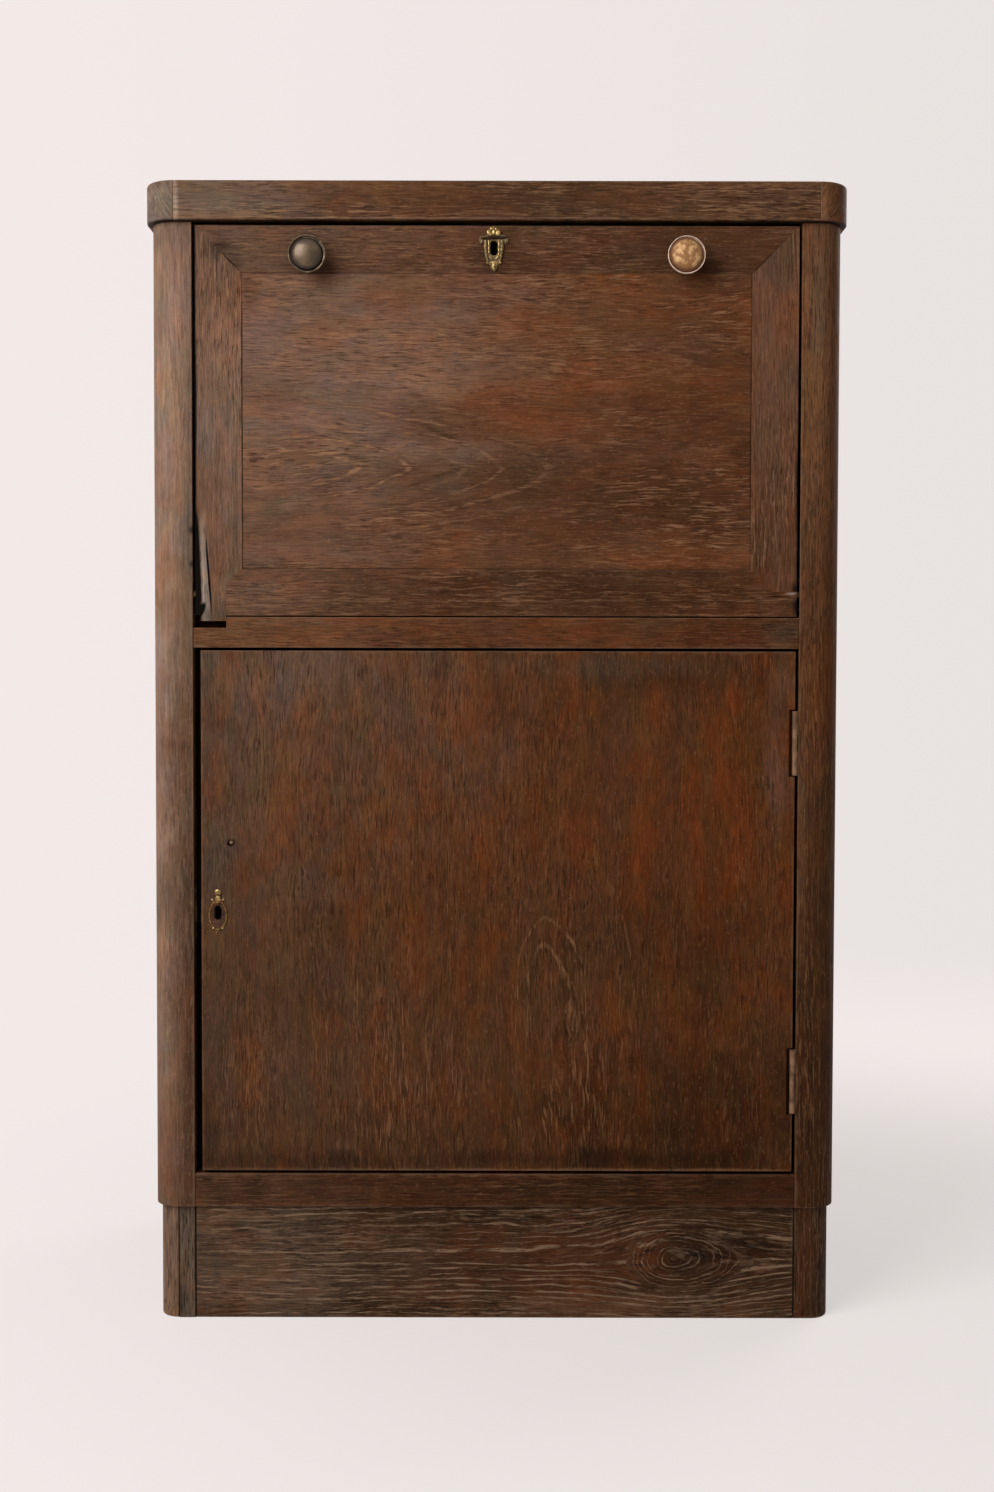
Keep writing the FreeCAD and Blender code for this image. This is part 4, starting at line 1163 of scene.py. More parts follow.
class Mould:
    """A mesh in the making, in the row frame."""

    SMOOTH_ANGLE = math.radians(40)
    POINTED = 1e-7
    SLOT_WIDTH = 0.16
    FLOOR = 0.02
    CROWN = 0.14
    CROWN_WIDTH = 0.94
    HALF_STEPS = 12

    def __init__(self) -> None:
        """Starts with an empty mesh."""
        self.mesh = bmesh.new()

    def ring(
        self, middle: Vector, side: Vector, other: Vector, radius: float, steps: int
    ) -> list[bmesh.types.BMVert]:
        """Sets a ring of corners.

        Args:
            middle: The ring's middle.
            side: The way to its first corner.
            other: The way to the corner a quarter turn on.
            radius: Its radius.
            steps: How many corners it has.

        Returns:
            The corners, all of them one and the same where the radius is nothing.
        """
        if radius < self.POINTED:
            return [self.mesh.verts.new(middle)] * steps
        turns = [2 * math.pi * index / steps for index in range(steps)]
        spokes = [side * math.cos(turn) + other * math.sin(turn) for turn in turns]
        return [self.mesh.verts.new(middle + spoke * radius) for spoke in spokes]

    def skin(self, rings: Sequence[list[bmesh.types.BMVert]], closed: bool) -> None:
        """Joins each ring of corners to the next one by faces.

        Args:
            rings: The rings in order.
            closed: Whether the two ends get a face each.
        """
        for first, second in zip(rings, rings[1:]):
            around = zip(first, second, second[1:] + second[:1], first[1:] + first[:1])
            for corners in around:
                self.mesh.faces.new(list(dict.fromkeys(corners)))
        for end in (rings[0], rings[-1]) if closed else ():
            if end[0] is not end[1]:
                self.mesh.faces.new(end)

    def lathe(self, centre: Vector, axis: Vector, profile: Sequence[Point], steps: int = 72) -> None:
        """Turns a profile round an axis; its ends are closed unless it runs back to its start.

        Args:
            centre: Where the axis starts.
            axis: The axis, one metre long.
            profile: Radius and height of each step.
            steps: Facets round the axis.
        """
        side = axis.orthogonal().normalized()
        other = axis.cross(side)
        looped = profile[0] == profile[-1]
        open_profile = profile[:-1] if looped else profile
        rings = [self.ring(centre + axis * high, side, other, wide, steps) for wide, high in open_profile]
        self.skin(rings + rings[:1] if looped else rings, not looped)

    def tube(self, points: Sequence[Vector], radii: Sequence[float], sides: int = 14) -> None:
        """Sweeps a round bead along points.

        Args:
            points: The bead's middle line.
            radii: Its radius at each point.
            sides: Facets round the bead.
        """
        rings = []
        for index, (point, radius) in enumerate(zip(points, radii)):
            before = points[max(index - 1, 0)]
            after = points[min(index + 1, len(points) - 1)]
            side = (after - before).normalized().cross(BACKWARD).normalized()
            rings.append(self.ring(point, side, BACKWARD, radius, sides))
        self.skin(rings, True)

    def dome(self, centre: Vector, reach: Sequence[float], lean: float = 0.0) -> None:
        """Adds an egg, leaning sideways in the face.

        Args:
            centre: Its middle.
            reach: Half its width, depth and height.
            lean: How far it leans, in radians.
        """
        turn = Matrix.Translation(centre) @ Matrix.Rotation(lean, 4, "Y")
        form = turn @ Matrix.Diagonal((*reach, 1.0))
        bmesh.ops.create_uvsphere(self.mesh, u_segments=24, v_segments=16, radius=1.0, matrix=form)

    def plate(
        self, outline: Sequence[Point], holes: Iterable[Sequence[Point]], front: float, back: float
    ) -> None:
        """Cuts a plate with holes, standing in the XZ plane.

        Args:
            outline: X and Z of the rim.
            holes: X and Z of each hole's rim.
            front: Y of the front face.
            back: Y of the back face.
        """
        edges = []
        for loop in (outline, *holes):
            corners = [self.mesh.verts.new((x, front, z)) for x, z in loop]
            for pair in zip(corners, corners[1:] + corners[:1]):
                edges.append(self.mesh.edges.new(pair))
        filled = bmesh.ops.triangle_fill(self.mesh, use_beauty=True, use_dissolve=False, edges=edges)
        faces = [item for item in filled["geom"] if isinstance(item, bmesh.types.BMFace)]
        grown = bmesh.ops.extrude_face_region(self.mesh, geom=faces, use_keep_orig=True)
        moved = [item for item in grown["geom"] if isinstance(item, bmesh.types.BMVert)]
        bmesh.ops.translate(self.mesh, verts=moved, vec=(0, back - front, 0))

    def screw(self, centre: Vector, axis: Vector, radius: float, turn: float) -> None:
        """Adds a slotted screw head that lies just proud of a face.

        Args:
            centre: The middle of the head, on the face.
            axis: The way the head looks.
            radius: The head's radius.
            turn: The slot's turn.
        """
        side = Matrix.Rotation(turn, 3, axis) @ axis.orthogonal().normalized()
        other = axis.cross(side)
        floor = radius * self.FLOOR
        self.lathe(centre, axis, [(0, floor), (radius * (1 - self.FLOOR), floor), (radius, 0)], 32)
        start = math.asin(self.SLOT_WIDTH)
        sweep = (math.pi - 2 * start) / self.HALF_STEPS
        turns = [start + sweep * index for index in range(self.HALF_STEPS + 1)]
        for half in (1, -1):
            rim = [(side * math.cos(t) + other * math.sin(t) * half) * radius for t in turns]
            top = centre + axis * radius * self.CROWN
            upper = [self.mesh.verts.new(top + p * self.CROWN_WIDTH) for p in rim]
            lower = [self.mesh.verts.new(centre + p + axis * floor / 2) for p in rim]
            self.skin([upper, lower], True)

    def cast(self, name: str, material: bpy.types.Material, body: Body, slot: Slot) -> bpy.types.Object:
        """Turns the mesh into a piece that rides on a body.

        Args:
            name: The piece's name.
            material: Its material.
            body: The body it moves with.
            slot: The record's slot; not used.

        Returns:
            The piece.
        """
        bmesh.ops.recalc_face_normals(self.mesh, faces=self.mesh.faces)
        data = bpy.data.meshes.new(name)
        self.mesh.to_mesh(data)
        self.mesh.free()
        data.shade_smooth()
        data.set_sharp_from_angle(angle=self.SMOOTH_ANGLE)
        data.materials.append(material)
        piece = bpy.data.objects.new(name, data)
        bpy.context.scene.collection.objects.link(piece)
        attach(piece, body.value)
        LOG.info("piece %s on %s", name, body.value)
        return piece


def arc(middle: Point, radius: Point, start: float, end: float, steps: int) -> list[Point]:
    """Points of an oval arc.

    Args:
        middle: The arc's middle.
        radius: Its half width and half height.
        start: The first angle in degrees.
        end: The last angle in degrees.
        steps: How many pieces it is cut in.

    Returns:
        The points in order.
    """
    turns = [math.radians(start + (end - start) * index / steps) for index in range(steps + 1)]
    return [(middle[0] + radius[0] * math.cos(t), middle[1] + radius[1] * math.sin(t)) for t in turns]


class Joinery:
    """A wooden sub-assembly."""

    def boards(self) -> list[Board]:
        """Lists the boards; each sub-assembly has its own."""
        raise NotImplementedError

    def dress(self, carpenter: Carpenter) -> None:
        """Dresses each board in turn."""
        for board in self.boards():
            carpenter.dress(board)


@dataclass
class Top(Joinery):
    """The thick top: a core with lippings and round corners."""

    spacing: float = 5.5 * MM
    slant: float = 58.0
    # Painted shade: a near-black band along the lower edge of the front lipping and corners, for the shade
    # in the gap above the flap.
    grime: Patch = Patch(0.0, 1.1092, ENDLESS, 0.0026, Tone.DIRT, 1.0, ragged=0.6)
    front: Patches = (
        Patch(-0.28, 1.13, 0.14, 0.04, Tone.DUST, 0.42),
        Patch(-0.29, 1.135, 0.05, 0.03, Tone.SLATE, 0.4),
        # Painted highlight: a pale upright line where the lipping meets the left corner.
        Patch(-0.321, 1.13, 0.005, 0.06, Tone.SPLIT, 0.45),
        Patch(0.06, 1.13, 0.34, 0.06, Tone.DARK, 0.4),
        # Painted highlight: a thin pale line along the lipping's lower arris.
        Patch(-0.1, 1.1128, 0.5, 0.0013, Tone.GREY, 0.6),
    )
    left: Patches = (
        Patch(-0.34, 1.13, 0.06, 0.06, Tone.DUST, 0.8),
        Patch(-0.345, 1.12, 0.05, 0.02, Tone.SLATE, 0.35),
    )
    # Painted highlight: a pale upright band on the right corner's curve.
    right: Patches = (Patch(0.325, 1.13, 0.006, 0.05, Tone.SUN, 0.6),)
    left_side: Patches = (Patch(-0.34, 1.13, ENDLESS, 0.06, Tone.DUST, 0.4),)

    def boards(self) -> list[Board]:
        """Lists the top's boards.

        Returns:
            The boards in order.
        """
        plan = (
            ("core", Grain.FLAT, (), 0.0),
            ("front_lipping", Grain.LEVEL, (*self.front, self.grime), 0.0),
            ("corner_left", Grain.LEVEL, (*self.left, self.grime), self.slant),
            ("corner_right", Grain.LEVEL, (*self.right, self.grime), -self.slant),
            ("side_lipping_left", Grain.DEEP, self.left_side, 0.0),
            ("side_lipping_right", Grain.DEEP, (), 0.0),
        )
        return [
            Board(f"top_{name}", grain, TOPMOST, self.spacing, patches=patches, slant=slant)
            for name, grain, patches, slant in plan
        ]


@dataclass
class Case(Joinery):
    """The outer case: posts, sides, rails and back."""

    left: Patches = (
        Patch(-0.335, 0.95, 0.2, 0.5, Tone.ASH, 0.59),
        Patch(-0.347, 0.5, 0.028, 0.3, Tone.ASH, 0.4),
        Patch(-0.347, 0.25, 0.028, 0.3, Tone.ASH, 0.24),
        # Painted shadow: darker at the top of the post, under the overhanging top.
        Patch(-0.33, 1.1, 0.1, 0.035, Tone.SLATE, 0.32),
        Patch(-0.34, 0.43, 0.05, 0.05, Tone.SLATE, 0.4),
        Patch(-0.325, 0.7, 0.01, 0.1, Tone.SLATE, 0.2),
        Patch(-0.308, 0.85, 0.014, 0.4, Tone.SLATE, 0.56),
        Patch(-0.34, 0.45, 0.05, 0.35, Tone.DUST, 0.18),
        Patch(-0.31, 0.3, 0.012, 0.34, Tone.DARK, 0.5),
        Patch(-0.3065, 0.803, 0.004, 0.007, Tone.DIRT, 0.8),
        Patch(-0.3065, 0.769, 0.003, 0.006, Tone.DIRT, 0.8),
    )
    # Painted light and shade: the right post is lighter at the top and along its curve, and much darker
    # towards the bottom.
    right: Patches = (
        Patch(0.32, 0.98, 0.05, 0.35, Tone.SUN, 0.5),
        Patch(0.322, 1.03, 0.016, 0.1, Tone.SUN, 0.45),
        Patch(0.3068, 0.87, 0.0024, 0.14, Tone.SUN, 0.7),
        Patch(0.3105, 0.52, 0.0055, 0.2, Tone.SUN, 0.5, ragged=2.8),
        Patch(0.33, 0.2, 0.2, 0.45, Tone.DARK, 0.85),
        Patch(0.335, 0.65, 0.1, 0.35, Tone.DARK, 0.2),
    )
    left_side: Patches = (
        Patch(-0.34, 0.95, ENDLESS, 0.5, Tone.ASH, 0.42),
        Patch(-0.34, 0.4, ENDLESS, 0.5, Tone.ASH, 0.26),
    )
    rail: Patches = (
        Patch(-0.25, 0.7, 0.2, 0.05, Tone.SUN, 0.42),
        Patch(-0.02, 0.7, 0.2, 0.05, Tone.RED, 0.3),
        Patch(0.28, 0.7, 0.2, 0.05, Tone.DARK, 0.4),
        Patch(0.29, 0.7, 0.03, 0.02, Tone.SLATE, 0.5),
    )
    low_rail: Patches = (
        Patch(-0.27, 0.13, 0.2, 0.1, Tone.DUST, 0.12),
        Patch(0.05, 0.13, 0.6, 0.1, Tone.DARK, 0.75),
        Patch(0.25, 0.13, 0.25, 0.1, Tone.DIRT, 0.35),
    )

    def boards(self) -> list[Board]:
        """Lists the case's outer boards.

        Returns:
            The boards in order.
        """
        return [
            Board("front_post_left", Grain.UPRIGHT, FADED, patches=self.left),
            Board("front_post_right", Grain.UPRIGHT, AMBER, patches=self.right),
            Board("side_left", Grain.UPRIGHT_SIDE, FADED, patches=self.left_side),
            Board("side_right", Grain.UPRIGHT_SIDE),
            Board("middle_rail", Grain.LEVEL, RAIL, patches=self.rail),
            Board("bottom_rail", Grain.LEVEL, RAIL, patches=self.low_rail),
            Board("back_panel", Grain.UPRIGHT, PLY, spacing=12 * MM, wander=90 * MM),
        ]


@dataclass
class Plinth(Joinery):
    """The set-back plinth with its round corners."""

    knot: KnotMark = KnotMark(0.183, 0.062, 0.044, 0.031, 9.0)
    joints: Patches = (
        Patch(-0.3055, 0.06, 0.0018, 0.3, Tone.DIRT, 1.0, ragged=0.6),
        Patch(-0.3225, 0.06, 0.0014, 0.3, Tone.DIRT, 0.9, ragged=0.8),
        Patch(0.3055, 0.06, 0.0018, 0.3, Tone.DIRT, 1.0, ragged=0.6),
    )
    front: Patches = (
        Patch(-0.24, 0.06, 0.2, 0.12, Tone.DUST, 0.22),
        Patch(0.08, 0.05, 0.22, 0.08, Tone.RED, 0.3),
        Patch(0.1, 0.008, 0.25, 0.03, Tone.SUN, 0.35),
        Patch(0.24, 0.07, 0.09, 0.045, Tone.DARK, 0.75),
        Patch(0.2, 0.062, 0.05, 0.035, Tone.DIRT, 0.48),
        Patch(0.245, 0.078, 0.04, 0.04, Tone.DIRT, 0.3),
        Patch(-0.25, 0.025, 0.12, 0.03, Tone.SUN, 0.25),
        Patch(0.239, 0.073, 0.0055, 0.016, Tone.GREY, 0.45, -1.6, 2.6),
        Patch(0.231, 0.031, 0.0065, 0.012, Tone.GREY, 0.45, 2.2, 2.6),
        Patch(0.268, 0.055, 0.022, 0.009, Tone.GREY, 0.5, -0.6, 3.0),
    )
    left_side: Patches = (Patch(-0.33, 0.06, ENDLESS, 0.2, Tone.ASH, 0.3),)

    def boards(self) -> list[Board]:
        """Lists the plinth's boards.

        Returns:
            The boards in order.
        """
        front = (*self.front, *self.joints)
        made = [
            Board("plinth_front", Grain.LEVEL, LIMED, 6 * MM, 34 * MM, front, knot=self.knot),
            Board("plinth_back", Grain.LEVEL, LIMED),
        ]
        uprights = (
            ("filler_left", Patch(-0.314, 0.06, 0.05, 0.2, Tone.DUST, 0.4)),
            ("corner_left", Patch(-0.335, 0.06, 0.05, 0.2, Tone.ASH, 0.5)),
            ("corner_right", Patch(0.31, 0.05, 0.02, 0.2, Tone.RED, 0.3)),
        )
        for name, patch in uprights:
            made.append(Board(f"plinth_{name}", Grain.UPRIGHT, PLAIN_FOOT, patches=(patch, *self.joints)))
        made.append(Board("plinth_side_left", Grain.DEEP, LIMED, patches=self.left_side))
        made.append(Board("plinth_side_right", Grain.DEEP, LIMED))
        return made


@dataclass
class FlapBoards(Joinery):
    """The falling flap: a panel in a frame of bands."""

    seam: float = 1.9 * MM
    mitre: float = 14 * MM
    mitre_at: float = 12 * MM
    arch: Arch = Arch(0.868, -0.2, 0.25)
    figure: Figure = Figure(-0.1, 0.872, 0.22, 0.1, 0.8)
    smudge: Patches = (
        Patch(-0.275, 1.085, 0.024, 0.02, Tone.DIRT, 0.5),
        Patch(-0.262, 1.07, 0.014, 0.016, Tone.DIRT, 0.25),
    )
    panel: Patches = (
        Patch(-0.18, 0.98, 0.24, 0.18, Tone.GREY, 0.42),
        Patch(-0.22, 0.9, 0.22, 0.3, Tone.DUST, 0.16),
        Patch(-0.045, 0.957, 0.13, 0.028, Tone.ASH, 0.2, ragged=2.4),
        Patch(0.05, 0.93, 0.2, 0.05, Tone.RED, 0.3),
        Patch(0.14, 0.84, 0.28, 0.1, Tone.DARK, 0.5),
        Patch(0.23, 0.94, 0.12, 0.2, Tone.DARK, 0.3),
        Patch(-0.055, 0.9, 0.009, 0.017, Tone.DARK, 0.4, -2.06, 2.0),
        Patch(-0.07, 0.854, 0.01, 0.018, Tone.DARK, 0.4, 2.6, 2.0),
        Patch(-0.03, 0.885, 0.09, 0.014, Tone.ASH, 0.12, 0.0, 2.8),
    )
    top: Patches = (
        Patch(-0.25, 1.085, 0.2, 0.1, Tone.DUST, 0.14),
        # Painted shadows: darker below and to the right of each knob, and round the keyhole plate.
        Patch(-0.18, 1.066, 0.045, 0.04, Tone.DIRT, 0.4),
        Patch(0.196, 1.066, 0.045, 0.04, Tone.DIRT, 0.4),
        Patch(-0.003, 1.08, 0.035, 0.04, Tone.DIRT, 0.4),
        Patch(-0.1, 1.105, 0.4, 0.0016, Tone.GREY, 0.5),
        Patch(0.17, 1.085, 0.25, 0.1, Tone.DARK, 0.4),
        Patch(-0.262, 1.08, 0.03, 0.03, Tone.SLATE, 0.5),
    )
    left: Patches = (
        Patch(-0.285, 0.94, 0.08, 0.3, Tone.GREY, 0.55),
        Patch(-0.28, 0.92, 0.1, 0.3, Tone.DUST, 0.2),
        Patch(-0.285, 1.09, 0.03, 0.03, Tone.SLATE, 0.4),
        Patch(-0.2938, 0.758, 0.0066, 0.085, Tone.DUST, 1.6, -0.05, 0.7),
        Patch(-0.2958, 0.766, 0.0022, 0.08, Tone.SPLIT, 0.4, -0.03, 0.7),
        Patch(-0.2895, 0.762, 0.0016, 0.055, Tone.DIRT, 1.6, -0.075, 0.6),
        # Painted shade: near-black strips down the left edge that widen the dark gap beside the post.
        Patch(-0.3040, 0.92, 0.0040, 0.5, Tone.DIRT, 2.0, ragged=0.6),
        Patch(-0.3050, 0.755, 0.0094, 0.1, Tone.DIRT, 4.0, ragged=0.5),
        Patch(-0.2975, 0.722, 0.0040, 0.008, Tone.DIRT, 2.0, 0.4),
        Patch(-0.285, 1.085, 0.04, 0.04, Tone.SLATE, 0.4),
        Patch(-0.285, 0.718, 0.03, 0.008, Tone.SLATE, 0.5),
        Patch(-0.262, 0.82, 0.006, 0.09, Tone.SLATE, 0.5),
        Patch(-0.264, 1.035, 0.012, 0.05, Tone.SLATE, 0.45),
    )
    bottom: Patches = (
        Patch(-0.25, 0.74, 0.1, 0.05, Tone.GREY, 0.2),
        Patch(-0.25, 0.74, 0.2, 0.1, Tone.DUST, 0.12),
        Patch(0.1, 0.74, 0.42, 0.06, Tone.DARK, 0.6),
        Patch(0.297, 0.7405, 0.008, 0.0022, Tone.SPLIT, 0.5),
        Patch(0.28, 0.7372, 0.02, 0.0011, Tone.DIRT, 0.9, 0.0, 0.8),
        Patch(0.303, 0.728, 0.006, 0.014, Tone.DIRT, 0.9),
    )
    right: Patches = (
        Patch(0.28, 0.95, 0.08, 0.2, Tone.DUST, 0.13),
        Patch(0.28, 1.08, 0.05, 0.06, Tone.SLATE, 0.45),
        Patch(0.28, 0.8, 0.1, 0.2, Tone.DARK, 0.25),
        # Painted shade: a near-black strip down the right edge that widens the dark gap beside the post.
        Patch(0.3036, 0.86, 0.0040, 0.2, Tone.DIRT, 1.0, ragged=1.6),
        Patch(0.301, 0.745, 0.006, 0.012, Tone.DIRT, 0.9),
    )

    def seams(self) -> list[Patch]:
        """Draws thin dark lines where the panel meets its bands.

        Returns:
            The lines.
        """
        _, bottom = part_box("flap_band_bottom")
        top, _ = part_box("flap_band_top")
        _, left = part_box("flap_band_left")
        right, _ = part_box("flap_band_right")
        wide = right.x - left.x
        high = top.z - bottom.z
        middle = (top.z + bottom.z) / 2
        return [
            Patch(left.x, middle, self.seam, high * 1.2, Tone.DIRT, 1.0, ragged=1.0),
            Patch(right.x, middle, self.seam, high * 1.1, Tone.DIRT, 0.8, ragged=1.2),
            Patch(left.x, top.z, wide * 0.9, self.seam, Tone.DIRT, 0.8, ragged=1.2),
            Patch(left.x, bottom.z, wide * 1.4, self.seam, Tone.DIRT, 0.7, ragged=1.4),
        ]

    def mitres(self) -> list[Patch]:
        """Draws thin dark lines along the inner ends of the upper mitres.

        Returns:
            The lines.
        """
        top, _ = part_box("flap_band_top")
        _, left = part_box("flap_band_left")
        right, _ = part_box("flap_band_right")
        up = top.z + self.mitre_at
        return [
            Patch(left.x - self.mitre_at, up, self.seam, self.mitre, Tone.DIRT, 0.8, -1.0, 0.8),
            Patch(right.x + self.mitre_at, up, self.seam, self.mitre, Tone.DIRT, 0.5, 1.0, 1.2),
        ]

    def boards(self) -> list[Board]:
        """Lists the flap's boards.

        Returns:
            The boards in order.
        """
        mitres = self.mitres()
        panel = (*self.panel, *self.seams())
        top = (*self.top, *self.smudge, *mitres)
        left = (*self.left, *self.smudge, *mitres)
        right = (*self.right, *mitres)
        return [
            Board("flap_panel", Grain.LEVEL, FLUSH, 12 * MM, 44 * MM, panel, self.arch, self.figure),
            Board("flap_band_top", Grain.LEVEL, BAND, patches=top),
            Board("flap_band_bottom", Grain.LEVEL, BAND, patches=self.bottom),
            Board("flap_band_left", Grain.UPRIGHT, FLUSH, patches=left),
            Board("flap_band_right", Grain.UPRIGHT, FLUSH, patches=right),
        ]


@dataclass
class DoorBoards(Joinery):
    """The flat door."""

    arch: Arch = Arch(0.061, 0.347, 0.5)
    figure: Figure = Figure(0.072, 0.35, 0.12, 0.14, 0.75)
    dry: Figure = Figure(-0.02, 0.25, 0.34, 0.13, 0.5)
    patches: Patches = (
        Patch(-0.2, 0.62, 0.3, 0.2, Tone.GREY, 0.22),
        Patch(-0.2, 0.2, 0.2, 0.12, Tone.GREY, 0.12),
        Patch(-0.24, 0.66, 0.14, 0.06, Tone.DUST, 0.22),
        Patch(-0.25, 0.46, 0.1, 0.2, Tone.DUST, 0.08),
        Patch(-0.2, 0.6, 0.26, 0.22, Tone.SLATE, 0.32),
        Patch(-0.2, 0.3, 0.24, 0.2, Tone.SLATE, 0.2),
        Patch(0.19, 0.49, 0.17, 0.14, Tone.RED, 0.45),
        Patch(0.02, 0.55, 0.2, 0.16, Tone.RED, 0.2),
        Patch(0.18, 0.66, 0.12, 0.04, Tone.DARK, 0.6),
        Patch(0.22, 0.2, 0.2, 0.14, Tone.DARK, 0.8),
        Patch(0.2, 0.38, 0.16, 0.09, Tone.DARK, 0.4),
        Patch(0.12, 0.668, 0.16, 0.022, Tone.SLATE, 0.45),
        Patch(0.271, 0.67, 0.022, 0.016, Tone.RED, 0.7),
        Patch(0.16, 0.622, 0.02, 0.035, Tone.RED, 0.5),
        Patch(0.24, 0.633, 0.014, 0.05, Tone.RED, 0.45),
        Patch(0.29, 0.655, 0.02, 0.04, Tone.SUN, 0.35),
        Patch(0.284, 0.56, 0.022, 0.08, Tone.DUST, 0.2),
        Patch(-0.12, 0.19, 0.3, 0.08, Tone.DARK, 0.4),
        Patch(0.08, 0.166, 0.26, 0.016, Tone.DIRT, 0.5),
        Patch(-0.2, 0.163, 0.16, 0.014, Tone.DIRT, 0.35),
        Patch(-0.292, 0.2, 0.012, 0.07, Tone.DIRT, 0.3),
        Patch(0.1, 0.1545, 0.4, 0.0024, Tone.SUN, 0.6, ragged=2.4),
        Patch(-0.285, 0.46, 0.03, 0.09, Tone.SLATE, 0.6),
        Patch(-0.28, 0.3, 0.03, 0.14, Tone.SLATE, 0.3),
        Patch(-0.29, 0.67, 0.03, 0.03, Tone.SLATE, 0.55),
        Patch(-0.268, 0.4875, 0.0065, 0.006, Tone.DIRT, 0.7),
        Patch(-0.2645, 0.493, 0.005, 0.003, Tone.SUN, 0.5),
        Patch(-0.3, 0.42, 0.004, 0.4, Tone.GREY, 0.4),
    )

    def boards(self) -> list[Board]:
        """Lists the door's board.

        Returns:
            The boards in order.
        """
        form = (self.arch, self.figure, self.dry)
        return [Board("door_board", Grain.UPRIGHT, SMOOTH, 15 * MM, 44 * MM, self.patches, *form)]


@dataclass
class Inside(Joinery):
    """Shelves, floors, bearers and stops."""

    # Painted shade: near-black bands on the flap stop and door stop where they show through the gaps round
    # the flap and the door.
    flap_grime: Patch = Patch(0.0, 1.11, ENDLESS, 0.009, Tone.DIRT, 1.0, ragged=0.4)
    door_grime: Patch = Patch(-0.306, 0.4, 0.02, ENDLESS, Tone.DIRT, 1.0, ragged=0.4)

    def boards(self) -> list[Board]:
        """Lists the boards inside.

        Returns:
            The boards in order.
        """
        made = [
            Board("bottom_board", Grain.FLAT, INSIDE),
            Board("floor_board", Grain.FLAT, INSIDE),
            Board("upper_shelf", Grain.FLAT, INSIDE),
            Board("lower_shelf", Grain.FLAT, INSIDE),
            Board("floor_batten", Grain.LEVEL, INSIDE),
            Board("flap_stop", Grain.LEVEL, INSIDE, patches=(self.flap_grime,)),
            Board("door_stop", Grain.UPRIGHT, INSIDE, patches=(self.door_grime,)),
        ]
        for shelf in ("upper", "lower"):
            made += [Board(f"{shelf}_shelf_bearer_{side}", Grain.DEEP, INSIDE) for side in SIDES]
        return made


@dataclass
class Fittings:
    """Metal that keeps its CAD shape."""

    smith: Smith

    def dress(self) -> None:
        """Puts the metals on."""
        brass = ["flap_strike", "door_strike"]
        brass += [f"pivot_{piece}_{side}" for piece in ("strap", "plate") for side in SIDES]
        for hinge in ("upper", "lower"):
            brass += [f"hinge_{hinge}_{piece}" for piece in ("door_leaf", "post_leaf", "pin")]
        steel = [f"knob_bolt_{side}" for side in SIDES]
        steel += [f"{leaf}_lock_{piece}" for leaf in ("flap", "door") for piece in ("case", "bolt")]
        for nodes, finish in ((brass, DARK_BRASS), (steel, STEEL)):
            for node in nodes:
                self.smith.dress(node, finish)


@dataclass
class Knob:
    """A turned knob: a low dome in a sunk ring and a raised rim, on a waisted neck.

    Widths are shares of its radius, and heights are shares of its reach.
    """

    smith: Smith
    side: str
    face: MetalFinish
    ring: MetalFinish
    rim: MetalFinish
    dome: float = 0.85
    lip: float = 0.031
    seat: float = 0.72
    bed: float = 0.08
    groove: float = 0.03
    slack: float = 0.98
    lip_at: float = 0.79
    lip_rise: float = 1.2
    flare_at: float = 0.35
    flare: Point = (0.62, 0.36)
    neck: Point = (0.4, 0.2)
    foot: Point = (0.58, 0.12)

    def profiles(self, radius: float, reach: float) -> dict[str, list[Point]]:
        """Draws the knob's three pieces.

        Args:
            radius: The knob's radius.
            reach: How far it stands out.

        Returns:
            Radius and height of each piece's steps.
        """
        seat = reach * self.seat
        bed = seat - reach * self.bed
        dome = radius * self.dome
        lip = radius * self.lip
        inner = radius - 2 * lip
        swell = arc((0, seat), (dome, reach - seat), 90, 0, 16)
        sunk = ((dome + inner) / 2, seat - reach * self.groove)
        bead = arc((radius - lip, reach * self.lip_at), (lip, lip * self.lip_rise), 180, 0, 8)
        waist = (radius * self.flare[0], reach * self.flare[1])
        flare = arc((radius, reach * self.flare_at), waist, 90, 180, 10)
        foot = [(radius * wide, reach * high) for wide, high in (self.neck, self.foot, (self.foot[0], 0.0))]
        return {
            "face": [(0.0, reach), *swell[1:], (dome, bed), (0.0, bed)],
            "ring": [(dome, seat), sunk, (inner, seat), (inner, bed), (dome, bed), (dome, seat)],
            "body": [(0.0, bed), (inner, bed), (inner, seat), *bead, *flare, *foot],
        }

    def build(self) -> None:
        """Turns the knob in place of its CAD node."""
        node = f"knob_{self.side}"
        low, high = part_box(node)
        middle = (low + high) / 2
        start = Vector((middle.x, high.y, middle.z))
        finishes = {"face": self.face, "ring": self.ring, "body": self.rim}
        profiles = self.profiles((high.x - low.x) / 2 * self.slack, high.y - low.y)
        for part, profile in profiles.items():
            mould = Mould()
            mould.lathe(start, FORWARD, profile)
            piece = self.smith.cast(mould, f"knob_{part}_{self.side}", Body.FLAP, finishes[part])
            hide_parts(node)


